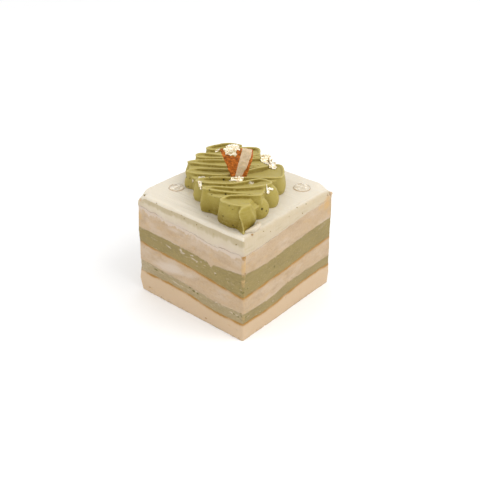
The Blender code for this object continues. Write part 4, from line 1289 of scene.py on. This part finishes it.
def bends(mesh, rounds):
    """How much each point stands out from its neighbours (above 0) or lies in a crease (below 0)."""
    places = rows_of(mesh.vertices, "co", 3, float)
    normals = rows_of(mesh.vertices, "normal", 3, float)
    edges = rows_of(mesh.edges, "vertices", 2, np.int64)
    degree = np.bincount(edges.ravel(), minlength=len(places)).astype(float)

    def neighbours(values):
        total = np.zeros_like(values)
        np.add.at(total, edges[:, 0], values[edges[:, 1]])
        np.add.at(total, edges[:, 1], values[edges[:, 0]])
        return total / (degree[:, None] if values.ndim == 2 else degree)

    wide = places.copy()
    for turn in range(rounds):
        wide = neighbours(wide)
    bend = np.einsum("ij,ij->i", places - wide, normals) / (0.25 * MM)
    for turn in range(2):
        bend = (bend + neighbours(bend)) / 2.0
    return places, normals, bend


# Air holes in the piped cream that show, as places in the picture and sizes
PINHOLES_IN_PICTURE = (
    (209.5, 190.4, 1.0), (211.8, 194.3, 0.9), (225.5, 194.3, 1.0), (223.6, 179.7, 1.0), (222.8, 216.1, 0.9),
    (262.2, 209.2, 1.3), (266.5, 211.1, 0.9), (232.8, 225.6, 1.0), (214.8, 197.5, 0.6), (229.0, 206.0, 0.6),
)
HIDDEN_PINHOLES = 26
PINHOLE_REACH = 0.45 * MM
SWELL_DEPTH = 0.12 * MM
PIPED_FOOT_DEPTH = 0.15 * MM
PIPED_SHADE_HEIGHT = 9.0 * MM


def fused_ribbon(level, piping):
    """The passes, the bodies between them, the tail and the rounded lobes as one soft body."""
    whole = bmesh.new()
    rounds = [shoulder_bmesh(level, centre, radii) for centre, radii in SHOULDERS]
    for part in zigzag_meshes(level) + [tail_bmesh(level)] + rounds:
        mesh = bpy.data.meshes.new("part")
        bmesh.ops.recalc_face_normals(part, faces=part.faces)
        part.to_mesh(mesh)
        part.free()
        whole.from_mesh(mesh)
        bpy.data.meshes.remove(mesh)
    bmesh.ops.recalc_face_normals(whole, faces=whole.faces)
    piece = mesh_object("piped_ribbon", [], [])
    whole.to_mesh(piece.data)
    whole.free()
    fuse = piece.modifiers.new("fuse", "REMESH")
    fuse.mode = "VOXEL"
    fuse.voxel_size = piping.voxel
    soften = piece.modifiers.new("soften", "SMOOTH")
    soften.factor = 0.5
    soften.iterations = piping.smoothing
    evaluated(piece)
    smoothed(piece.data)
    return piece


def pinhole_centres(mesh, places, normals, stage):
    """Air holes as centres and sizes: those that show, then more scattered over the walls."""
    tree = BVHTree.FromPolygons([Vector(p) for p in places], [tuple(f.vertices) for f in mesh.polygons])
    centres = []
    for across, down, size in PINHOLES_IN_PICTURE:
        centres.append((tree.ray_cast(*sight_line(stage, across, down))[0], size))
    draw = random.Random(7)
    walls = [i for i in range(0, len(places), 37) if abs(normals[i][2]) < 0.5]
    for number in range(HIDDEN_PINHOLES):
        centres.append((Vector(places[draw.choice(walls)]), draw.uniform(0.5, 0.9)))
    return centres


def piped_ribbon(sizes, piping, stage):
    """The fused zigzag with nozzle streaks, soft unevenness and air holes."""
    level = sizes.icing_level
    piece = fused_ribbon(level, piping)
    mesh = piece.data
    places, normals, bend = bends(mesh, 6)
    for i in range(len(places)):
        x, y, z = places[i]
        ahead = (x - y) * ROOT_HALF
        across = (x + y) * ROOT_HALF
        streak = noise.noise(Vector((ahead / (0.75 * MM), across / (9.0 * MM), z / (1.1 * MM))))
        swell = noise.noise(Vector((x, y, z)) / (5.5 * MM))
        places[i] += normals[i] * (piping.streak_depth * streak + SWELL_DEPTH * swell)
    holes = np.zeros(len(places))
    for spot, size in pinhole_centres(mesh, places, normals, stage):
        near = np.linalg.norm(places - np.array(spot), axis=1) / (PINHOLE_REACH * size)
        share = np.clip(1.0 - near, 0.0, 1.0)
        holes = np.maximum(holes, np.clip(share * 3.2, 0.0, 1.0))
        places -= normals * (share * piping.pinhole_depth)[:, None]
    places[:, 2] = np.maximum(places[:, 2], level - PIPED_FOOT_DEPTH)
    mesh.vertices.foreach_set("co", places.ravel())
    mesh.update()
    height = (places[:, 2] - level) / PIPED_SHADE_HEIGHT
    # The lip value lightens convex lips and darkens creases: painted highlight and painted shade
    paint(piece, "lip", bend)
    # The air holes are painted darker: painted shade
    paint(piece, "pinhole_shade", holes)
    ahead = (places[:, 0] - places[:, 1]) * ROOT_HALF / MM
    across = (places[:, 0] + places[:, 1]) * ROOT_HALF / MM
    # Painted light: a lighter colour where faces look up and on the back lobes, painted shade toward the foot
    # of the front and left lobes
    deep_shade = np.clip((ahead - 9.0) / 16.0, 0.0, 1.0) * np.clip(1.0 - across / 14.0, 0.35, 1.0)
    above = np.clip(normals[:, 2], 0.0, 1.0) * np.clip(height * 2.0 - 0.3, 0.0, 1.0)
    paint(piece, "upper", np.maximum(above, 0.6 * (1.0 - deep_shade)))
    paint(piece, "foot", np.clip(1.35 - height * 1.3, 0.0, 1.0) * deep_shade)
    return piece


# Camera

def camera_matrix(stage):
    """Where the camera stands: an aim point near the cake's axis, an azimuth, an elevation and a roll."""
    back = Vector((sin(stage.azimuth) * cos(stage.elevation), -cos(stage.azimuth) * cos(stage.elevation),
                   sin(stage.elevation)))
    right = Vector((cos(stage.azimuth), sin(stage.azimuth), 0.0))
    up = back.cross(right)
    side = right * cos(stage.roll) + up * sin(stage.roll)
    top = up * cos(stage.roll) - right * sin(stage.roll)
    place = right * stage.aim_right + Vector((0.0, 0.0, stage.aim_height)) + back * stage.distance
    matrix = Matrix((side, top, back)).transposed().to_4x4()
    matrix.translation = place
    return matrix


PICTURE_SIZE = 480.0
SENSOR = 36.0


def sight_line(stage, across, down):
    """Where the line of sight through a place in the picture starts, and its direction."""
    matrix = camera_matrix(stage)
    focal = stage.lens / SENSOR * PICTURE_SIZE
    local = Vector((across - PICTURE_SIZE / 2.0, PICTURE_SIZE / 2.0 - down, -focal))
    return matrix.translation, (matrix.to_3x3() @ local).normalized()


def carriers():
    """Search trees of the pieces that small toppings lie on."""
    return [search_tree(piece.data) for piece in bpy.data.objects if piece.get("carries")]


def first_hit(trees, origin, direction):
    best = None
    for tree in trees:
        spot, normal, face, distance = tree.ray_cast(origin, direction)
        if spot is not None and (best is None or distance < best[2]):
            best = (spot, normal, distance)
    return best


def seen_spot(trees, stage, across, down):
    """The first spot that a place in the picture shows, and the direction that it faces."""
    hit = first_hit(trees, *sight_line(stage, across, down))
    if hit is None:
        raise RuntimeError(f"nothing carries a topping at {across}, {down} in the picture")
    return hit[:2]


# Nut shard, in mm: its outline where it enters the cream as ahead and across, and its top
# outline as ahead, across and height above the icing, both from the left corner round the front
NUT_FOOT = ((3.8, -2.5), (4.5, -0.8), (4.6, 2.2), (3.4, 4.4), (0.6, 3.2), (1.0, -2.0))
NUT_FOOT_LEVEL = 8.7
NUT_TOP = ((2.2, -7.1, 20.0), (4.9, 2.1, 21.1), (5.2, 5.8, 20.8), (3.2, 6.9, 19.8),
           (0.2, 5.2, 18.9), (-0.9, -4.8, 18.4))
NUT_ROOT_DEPTH = 3.4
NUT_ROOT_ROWS = 4
NUT_ROWS = 44
NUT_SIDE_CELLS = 14
NUT_FLESH_SIDE = 1
NUT_BELLY = 0.55


def nut_face(spot, side, share, t):
    """How far a place of one side stands out, in mm, and how pale it is."""
    rough = 0.22 * noise.noise(spot * 0.42) + 0.14 * noise.noise(spot * 1.3)
    rough += 0.07 * noise.noise(spot * 3.1)
    pale = 0.0
    if side in (NUT_FLESH_SIDE, NUT_FLESH_SIDE + 1):
        belly = NUT_BELLY * sin(pi * min(max(t, 0.0), 1.0))
        rough += belly * soft_step(share if side == NUT_FLESH_SIDE else 1.0)
    if side == NUT_FLESH_SIDE:
        rough += 0.18 * noise.noise(Vector((spot.x, spot.y * 2.2, spot.z * 1.1)))
        pale = soft_step(min(share + 0.02, 1.0) / 0.08)
    if side == NUT_FLESH_SIDE + 1:
        pale = soft_step((0.5 * t - share) / 0.1)
    return rough - 0.3 * soft_step((t - 0.93) / 0.07), pale


def nut_wedge(level):
    """The nut shard: roasted skin in front, with one broken pale side and a chipped top."""
    verts = []
    flesh = []
    corners = len(NUT_FOOT)
    count = corners * NUT_SIDE_CELLS
    for row in range(-NUT_ROOT_ROWS, NUT_ROWS + 1):
        t = row / NUT_ROWS
        ring_corners = []
        for (foot_ahead, foot_across), (top_ahead, top_across, top_height) in zip(NUT_FOOT, NUT_TOP):
            foot = Vector((foot_ahead, foot_across, NUT_FOOT_LEVEL))
            ring_corners.append(foot.lerp(Vector((top_ahead, top_across, top_height)), max(t, 0.0)))
        if t < 0.0:
            sunk = Vector((0.0, 0.0, NUT_ROOT_DEPTH * row / NUT_ROOT_ROWS))
            ring_corners = [corner + sunk for corner in ring_corners]
        centre = sum(ring_corners, Vector()) / corners
        for side, corner in enumerate(ring_corners):
            following = ring_corners[(side + 1) % corners]
            for cell in range(NUT_SIDE_CELLS):
                share = cell / NUT_SIDE_CELLS
                spot = corner.lerp(following, share)
                out = Vector((spot.x - centre.x, spot.y - centre.y, 0.0)).normalized()
                rough, pale = nut_face(spot, side, share, t)
                spot = spot + out * rough
                chip = 0.5 * noise.noise(Vector((spot.x, spot.y, 4.0)) * 0.8) * soft_step((t - 0.7) / 0.3)
                verts.append(from_leaf(spot.x, spot.y, level + (spot.z + chip) * MM))
                flesh.append(pale)
    faces = []
    top = len(verts) - count
    for low in range(0, top, count):
        join_rings(faces, low, low + count, count)
    middle = sum(verts[top:], Vector()) / count
    last = top
    for share in (0.8, 0.55, 0.3):
        first = len(verts)
        for i in range(count):
            spot = middle.lerp(verts[top + i], share)
            spot.z += 0.25 * MM * noise.noise(spot / (1.3 * MM)) + 0.2 * MM
            verts.append(spot)
            flesh.append(0.35)
        join_rings(faces, last, first, count)
        last = first
    close_ring(faces, last, count, True)
    close_ring(faces, 0, count, False)
    piece = mesh_object("nut_wedge", verts, faces)
    paint(piece, "flesh", flesh)
    return piece


# Gold leaf: each flake's middle in the picture, its length and width in mm, its turn in degrees
# and how far it stands up in mm
LEAF_IN_PICTURE = (
    (231.6, 149.6, 6.8, 4.6, 8.0, 0.5),
    (235.6, 148.4, 3.6, 2.6, -10.0, 0.5),
    (217.6, 150.2, 3.0, 1.6, 25.0, 0.5),
    (201.6, 177.6, 4.6, 2.8, 75.0, 0.6),
    (200.6, 184.6, 3.4, 2.4, 70.0, 0.6),
    (193.0, 181.2, 2.4, 1.1, 0.0, 0.4),
    (238.0, 179.0, 5.4, 3.0, 0.0, 0.5),
    (232.0, 180.8, 3.0, 1.4, 10.0, 0.4),
    (265.8, 158.8, 6.0, 5.2, -25.0, 0.7),
    (267.6, 163.8, 4.4, 3.0, -50.0, 0.7),
    (272.0, 165.2, 4.6, 3.8, -50.0, 0.7),
    (274.0, 168.2, 3.4, 2.6, -60.0, 0.7),
    (267.6, 190.4, 3.6, 1.6, -60.0, 0.7),
    (270.4, 189.0, 3.2, 1.2, 10.0, 0.5),
    (264.6, 192.4, 2.0, 0.8, 0.0, 0.3),
)
LEAF_CELL = 0.22 * MM
LEAF_THICKNESS = 0.05 * MM


def add_leaf(verts, faces, trees, stage, flake, seed):
    """One crumpled flake, laid over whatever carries it, with a torn outline."""
    across, down, length, width, turn, lift = flake
    spot, normal = seen_spot(trees, stage, across, down)
    sight = sight_line(stage, across, down)[1]
    lie = (normal + Vector((0.0, 0.0, 0.9)) - sight * 0.35).normalized()
    right = camera_matrix(stage).to_3x3().col[0]
    along = (right - lie * right.dot(lie)).normalized()
    along = Matrix.Rotation(radians(turn), 3, lie) @ along
    beside = lie.cross(along)
    reach_u = length / 2.0 * MM * 1.25
    reach_v = width / 2.0 * MM * 1.25
    columns = int(2.0 * reach_u / LEAF_CELL)
    rows = int(2.0 * reach_v / LEAF_CELL)
    grid = {}

    def crumple(size, offset):
        """Noise over the flake at the place in hand, with features of the given size in mm."""
        return grain(u, v, 0.0, size * MM, seed + offset)

    for j in range(rows + 1):
        for i in range(columns + 1):
            u = -reach_u + 2.0 * reach_u * i / columns
            v = -reach_v + 2.0 * reach_v * j / rows
            radius = ((u / (length / 2.0 * MM)) ** 2 + (v / (width / 2.0 * MM)) ** 2) ** 0.5
            torn = 1.0 + 0.3 * crumple(1.5, 0.3) + 0.18 * crumple(0.55, 0.7)
            if radius > torn:
                continue
            base = spot + along * u + beside * v
            below = first_hit(trees, base + lie * 2.5 * MM, -lie)
            if below is not None and (below[0] - base).length < 2.2 * MM:
                base = below[0]
            fold = abs(crumple(1.3, 5.0)) * 1.3 + 0.35 * crumple(0.5, 6.0)
            sway = along * crumple(0.9, 7.0) + beside * crumple(0.9, 8.0)
            grid[(i, j)] = len(verts)
            verts.append(base + lie * (0.1 + lift * max(fold, -0.05)) * MM + sway * 0.25 * MM)
    for j in range(rows):
        for i in range(columns):
            ring = [grid.get(key) for key in ((i, j), (i + 1, j), (i + 1, j + 1), (i, j + 1))]
            if None not in ring:
                faces.append(tuple(ring))


def gold_flakes(stage):
    trees = carriers()
    verts = []
    faces = []
    for number, flake in enumerate(LEAF_IN_PICTURE):
        add_leaf(verts, faces, trees, stage, flake, 11.0 * number)
    piece = mesh_object("gold_leaf_flakes", verts, faces)
    bm = bmesh.new()
    bm.from_mesh(piece.data)
    loose = [v for v in bm.verts if not v.link_faces]
    bmesh.ops.delete(bm, geom=loose, context="VERTS")
    bm.to_mesh(piece.data)
    bm.free()
    thick = piece.modifiers.new("thick", "SOLIDIFY")
    thick.thickness = LEAF_THICKNESS
    thick.offset = 0.0
    evaluated(piece)
    return piece


# Glaze drops: ahead, across, radius and height in mm, and the bead's place in the picture
GLAZE_DROPS = ((-3.4, -25.2, 3.4, 1.15), (-0.2, 28.4, 3.8, 1.2))
BEAD_IN_PICTURE = (251.0, 182.8)
BEAD_RADIUS = 1.2 * MM
DROP_SEGMENTS = 48
DROP_RINGS = 14
DROP_UNDERCUT = radians(35.0)


def dome(verts, faces, border, middle, up, radius, height, seed, rim=1.0):
    """A drop with a rounded foot and a slightly uneven outline."""
    side = up.orthogonal().normalized()
    other = up.cross(side)
    start = len(verts)
    for ring in range(DROP_RINGS):
        angle = -DROP_UNDERCUT + (pi / 2.0 + DROP_UNDERCUT) * ring / DROP_RINGS
        for i in range(DROP_SEGMENTS):
            turn = 2.0 * pi * i / DROP_SEGMENTS
            uneven = 1.0 + 0.05 * noise.noise(Vector((cos(turn), sin(turn), seed)))
            out = radius * cos(angle) * uneven
            rise = height * sin(angle) if angle > 0.0 else 0.35 * height * sin(angle)
            verts.append(middle + (side * cos(turn) + other * sin(turn)) * out + up * rise)
            # The border value marks the painted shade ring along the drop's foot
            border.append(rim * soft_step(1.0 - abs(radius * cos(angle) - radius) / (0.5 * MM)))
    top = len(verts)
    verts.append(middle + up * height)
    border.append(0.0)
    last = top - DROP_SEGMENTS
    for low in range(start, last, DROP_SEGMENTS):
        join_rings(faces, low, low + DROP_SEGMENTS, DROP_SEGMENTS)
    for i in range(DROP_SEGMENTS):
        faces.append((last + i, last + (i + 1) % DROP_SEGMENTS, top))
    close_ring(faces, start, DROP_SEGMENTS, False)


def glaze_drops(sizes, stage):
    verts = []
    faces = []
    border = []
    for number, (ahead, across, radius, height) in enumerate(GLAZE_DROPS):
        middle = from_leaf(ahead, across, sizes.icing_level + 0.05 * MM)
        dome(verts, faces, border, middle, Vector((0.0, 0.0, 1.0)), radius * MM, height * MM, number)
    spot, normal = seen_spot(carriers(), stage, *BEAD_IN_PICTURE)
    # The bead has no shade ring and shows only the painted highlight
    dome(verts, faces, border, spot, normal, BEAD_RADIUS, BEAD_RADIUS * 0.6, 5.0, 0.0)
    piece = mesh_object("glaze_drops", verts, faces)
    paint(piece, "border", border)
    return piece


# Icing pushed up beside the tail: start and end as ahead and across, and its width and lift
CURL_START = (37.4, 0.0)
CURL_END = (29.8, 6.2)
CURL_WIDTH = 3.1
CURL_LIFT = 2.5
CURL_STEPS = 48

# The flap's section, as shares of its width and its lift
CURL_SECTION = ((0.0, -0.1), (0.12, 0.6), (0.4, 0.9), (0.75, 1.0), (0.96, 0.9), (1.0, 0.6), (0.9, 0.2),
                (0.85, -0.1))


def icing_curl(sizes):
    """A thin flap of icing pushed up beside the tail of the piping."""
    verts = []
    faces = []
    start = Vector(CURL_START)
    end = Vector(CURL_END)
    run = (end - start).normalized()
    out = Vector((-run.y, run.x))
    if out.x < 0.0:
        out = -out
    count = len(CURL_SECTION)
    for step in range(CURL_STEPS + 1):
        t = step / CURL_STEPS
        swell = max(0.05, sin(pi * (0.04 + 0.92 * t))) ** 0.6
        bow = 0.9 * sin(pi * t)
        for depth, rise in CURL_SECTION:
            wave = 1.0 + 0.25 * noise.noise(Vector((t * 5.0, depth, 1.0)))
            place = start.lerp(end, t) + out * (bow + depth * CURL_WIDTH * swell * wave)
            height = rise * CURL_LIFT * swell * wave * MM
            verts.append(from_leaf(place.x, place.y, sizes.icing_level + height))
    for step in range(CURL_STEPS):
        join_rings(faces, step * count, (step + 1) * count, count)
    close_ring(faces, 0, count, False)
    close_ring(faces, CURL_STEPS * count, count, True)
    piece = mesh_object("icing_curl", verts, faces)
    bm = bmesh.new()
    bm.from_mesh(piece.data)
    bmesh.ops.recalc_face_normals(bm, faces=bm.faces)
    bm.to_mesh(piece.data)
    bm.free()
    round_off = piece.modifiers.new("round", "SUBSURF")
    round_off.levels = 2
    round_off.render_levels = 2
    evaluated(piece)
    for kind, value in (("side", 0.5), ("tint", 0.1), ("smear", 0.0), ("warm", 0.0)):
        paint(piece, kind, [value] * len(piece.data.vertices))
    return piece


# Crumbs and specks that show, as places in the picture and radii in mm
BAKED_CRUMBS = (
    (252.3, 234.9, 0.45), (243.8, 259.3, 0.55), (245.2, 273.8, 0.35), (150.0, 287.0, 0.3),
    (206.0, 318.0, 0.35),
)
CREAM_SPECKS = (
    (144.9, 195.6, 0.45), (196.8, 224.6, 0.22), (184.2, 218.8, 0.2), (236.2, 244.6, 0.24),
    (201.0, 227.6, 0.16), (156.6, 203.2, 0.2), (302.4, 213.2, 0.22), (297.0, 207.8, 0.24),
    (306.0, 204.0, 0.22), (263.6, 231.2, 0.2), (270.4, 231.4, 0.16), (172.0, 211.8, 0.16),
    (181.6, 215.2, 0.16), (207.4, 216.4, 0.14), (289.0, 216.4, 0.18),
)
PALE_CRUMBS = ((330.4, 193.6, 0.85), (140.6, 199.6, 0.5), (327.6, 195.0, 0.5))
FOOT_CRUMBS = 90


def lump(verts, faces, middle, radius, seed):
    """A small uneven crumb."""
    bm = bmesh.new()
    bmesh.ops.create_icosphere(bm, subdivisions=2, radius=1.0)
    first = len(verts)
    for vert in bm.verts:
        swell = 1.0 + 0.45 * noise.noise(vert.co * 1.6 + Vector((seed, 0.0, 0.0)))
        swell += 0.2 * noise.noise(vert.co * 4.0 + Vector((0.0, seed, 0.0)))
        verts.append(middle + vert.co * radius * swell)
    for face in bm.faces:
        faces.append(tuple(first + vert.index for vert in face.verts))
    bm.free()


def crumbs_in_picture(name, places, stage, sizes, foot=0):
    """Crumbs at places of the picture, and more that cling to the foot of all four faces."""
    trees = carriers()
    verts = []
    faces = []
    for number, (across, down, radius) in enumerate(places):
        spot, normal = seen_spot(trees, stage, across, down)
        lump(verts, faces, spot + normal * radius * 0.3 * MM, radius * MM, number * 3.1)
    draw = random.Random(23)
    half = sizes.half_side
    for number in range(foot):
        along = draw.uniform(-half + MM, half - MM)
        radius = draw.uniform(0.12, 0.34) * MM
        turn = Matrix.Rotation(draw.randrange(4) * pi / 2.0, 3, "Z")
        height = radius * draw.uniform(0.8, 3.5)
        spot = turn @ Vector((along, -half - radius * 0.15, height))
        lump(verts, faces, spot, radius, number * 1.7 + 50.0)
    return mesh_object(name, verts, faces)


# Stage

# Lights: turn from the camera's side, elevation, distance and size in metres, and colour
KEY_LIGHT = (radians(62.0), radians(48.0), 0.7, 0.42, (1.0, 0.985, 0.96))
FILL_LIGHT = (radians(-55.0), radians(35.0), 0.8, 0.6, (0.97, 0.985, 1.0))
LIGHT_AIM = Vector((0.0, 0.0, 30.0 * MM))
FLOOR_HALF = 2.0
FLOOR_LEVEL = -0.05 * MM


def area_light(name, stage, setting, power):
    """A square light that shines on the cake from its own side of the camera."""
    turn, elevation, distance, size, colour = setting
    bearing = stage.azimuth + turn - pi / 2.0
    place = Vector((cos(bearing) * cos(elevation), sin(bearing) * cos(elevation), sin(elevation))) * distance
    light = bpy.data.lights.new(name, "AREA")
    light.shape = "SQUARE"
    light.size = size
    light.energy = power
    light.color = colour
    holder = bpy.data.objects.new(name, light)
    holder.location = place
    holder.rotation_euler = (LIGHT_AIM - place).to_track_quat("-Z", "Y").to_euler()
    put_in_scene(holder)


class CAKE_OT_layers(bpy.types.Operator):
    """Cut faces of the three sponges and the two matcha creams, in place of their solids"""

    bl_idname = "cake.layers"
    bl_label = "Sponge and Cream Layers"

    def execute(self, context):
        sizes = context.scene.cake_sizes
        colours = context.scene.cake_colours
        stations = square_stations(sizes.half_side, sizes.corner_round, sizes.wall_cell)
        heights = seams(stations, 1.5 * MM)
        marks = face_marks(context.scene.cake_stage, sizes.half_side)
        sponge = sponge_finish(colours)
        cream = cream_finish(colours)
        for index, node in enumerate(LAYERS):
            piece = stack_layer(node, index, stations, heights, sizes, marks)
            if node.startswith("sponge"):
                finish_piece(piece, sponge, "sponge", node)
            else:
                finish_piece(piece, cream, "matcha_cream", node)
        return {"FINISHED"}


class CAKE_OT_icing(bpy.types.Operator):
    """Spread icing with its rounded rim, and the flap of icing pushed up beside the tail"""

    bl_idname = "cake.icing"
    bl_label = "White Icing"

    def execute(self, context):
        sizes = context.scene.cake_sizes
        finish = icing_finish(context.scene.cake_colours)
        piece = icing_block(sizes, face_marks(context.scene.cake_stage, sizes.half_side))
        finish_piece(piece, finish, "white_icing", "top_icing")
        finish_piece(icing_curl(sizes), finish, "white_icing")
        return {"FINISHED"}


class CAKE_OT_piping(bpy.types.Operator):
    """Piped matcha cream, laid in a zigzag from the back corner to the front corner"""

    bl_idname = "cake.piping"
    bl_label = "Piped Matcha Cream"

    def execute(self, context):
        scene = context.scene
        piece = piped_ribbon(scene.cake_sizes, scene.cake_piping, scene.cake_stage)
        finish = piped_finish(scene.cake_colours)
        finish_piece(piece, finish, "piped_matcha_cream", "piped_matcha")
        return {"FINISHED"}


class CAKE_OT_nut(bpy.types.Operator):
    """Nut shard that stands in the piped cream"""

    bl_idname = "cake.nut"
    bl_label = "Nut Shard"

    def execute(self, context):
        scene = context.scene
        piece = nut_wedge(scene.cake_sizes.icing_level)
        finish_piece(piece, nut_finish(scene.cake_colours), "nut_skin", "nut_shard")
        return {"FINISHED"}


class CAKE_OT_toppings(bpy.types.Operator):
    """Gold leaf, clear glaze, crumbs and specks of cream, each laid on what carries it"""

    bl_idname = "cake.toppings"
    bl_label = "Gold Leaf, Glaze and Crumbs"

    def execute(self, context):
        scene = context.scene
        sizes = scene.cake_sizes
        stage = scene.cake_stage
        colours = scene.cake_colours
        finish_piece(gold_flakes(stage), gold_finish(colours), "nut_skin")
        finish_piece(glaze_drops(sizes, stage), glaze_finish(colours), "white_icing")
        baked = crumbs_in_picture("baked_crumbs", BAKED_CRUMBS, stage, sizes)
        finish_piece(baked, crumb_finish(colours), "sponge")
        pale = crumbs_in_picture("pale_crumbs", PALE_CRUMBS, stage, sizes, FOOT_CRUMBS)
        paint(pale, "tone", [1.0] * len(pale.data.vertices))
        finish_piece(pale, sponge_finish(colours), "sponge")
        specks = crumbs_in_picture("cream_specks", CREAM_SPECKS, stage, sizes)
        finish_piece(specks, cream_finish(colours), "matcha_cream")
        return {"FINISHED"}


class CAKE_OT_stage(bpy.types.Operator):
    """Pale floor, soft studio light and the camera"""

    bl_idname = "cake.stage"
    bl_label = "Floor, Light and Camera"

    def execute(self, context):
        scene = context.scene
        stage = scene.cake_stage
        corners = [(x * FLOOR_HALF, y * FLOOR_HALF, 0.0) for x, y in ((-1, -1), (1, -1), (1, 1), (-1, 1))]
        floor = mesh_object("floor", corners, [(0, 1, 2, 3)], False)
        floor.location.z = FLOOR_LEVEL
        floor.data.materials.append(floor_finish(scene.cake_colours))
        area_light("key_light", stage, KEY_LIGHT, stage.key_power)
        area_light("fill_light", stage, FILL_LIGHT, stage.fill_power)
        world = bpy.data.worlds.new("white_room")
        world.use_nodes = True
        room = world.node_tree.nodes["Background"].inputs
        room["Color"].default_value = (1.0, 1.0, 1.0, 1.0)
        room["Strength"].default_value = stage.sky
        scene.world = world
        scene.view_settings.view_transform = "Standard"
        scene.view_settings.look = "None"
        lens = bpy.data.cameras.new("camera")
        lens.sensor_width = SENSOR
        lens.lens = stage.lens
        lens.clip_start = 0.01
        lens.clip_end = 20.0
        camera = bpy.data.objects.new("camera", lens)
        camera.matrix_world = camera_matrix(stage)
        put_in_scene(camera)
        scene.camera = camera
        return {"FINISHED"}


class CAKE_PT_parts(bpy.types.Panel):
    """Lists the pieces of the cake slice"""

    bl_idname = "CAKE_PT_parts"
    bl_label = "Matcha Cake Slice"
    bl_space_type = "VIEW_3D"
    bl_region_type = "UI"
    bl_category = "Cake"

    def draw(self, context):
        layout = self.layout
        for group in (context.scene.cake_sizes, context.scene.cake_piping, context.scene.cake_colours,
                      context.scene.cake_stage):
            box = layout.box()
            for name in group.bl_rna.properties.keys():
                if name not in ("rna_type", "name"):
                    box.prop(group, name)
        for operator in OPERATORS:
            layout.operator(operator.bl_idname)


GROUPS = (CakeSizes, PipingSizes, CakeColours, StageSettings)
OPERATORS = (CAKE_OT_layers, CAKE_OT_icing, CAKE_OT_piping, CAKE_OT_nut, CAKE_OT_toppings, CAKE_OT_stage)


def register():
    for item in GROUPS + OPERATORS + (CAKE_PT_parts,):
        bpy.utils.register_class(item)
    bpy.types.Scene.cake_sizes = bpy.props.PointerProperty(type=CakeSizes)
    bpy.types.Scene.cake_piping = bpy.props.PointerProperty(type=PipingSizes)
    bpy.types.Scene.cake_colours = bpy.props.PointerProperty(type=CakeColours)
    bpy.types.Scene.cake_stage = bpy.props.PointerProperty(type=StageSettings)


def unregister():
    del bpy.types.Scene.cake_stage
    del bpy.types.Scene.cake_colours
    del bpy.types.Scene.cake_piping
    del bpy.types.Scene.cake_sizes
    for item in reversed(GROUPS + OPERATORS + (CAKE_PT_parts,)):
        bpy.utils.unregister_class(item)


def main():
    register()
    bpy.ops.cake.layers()
    bpy.ops.cake.icing()
    bpy.ops.cake.piping()
    bpy.ops.cake.nut()
    bpy.ops.cake.toppings()
    bpy.ops.cake.stage()


if __name__ == "__main__":
    main()
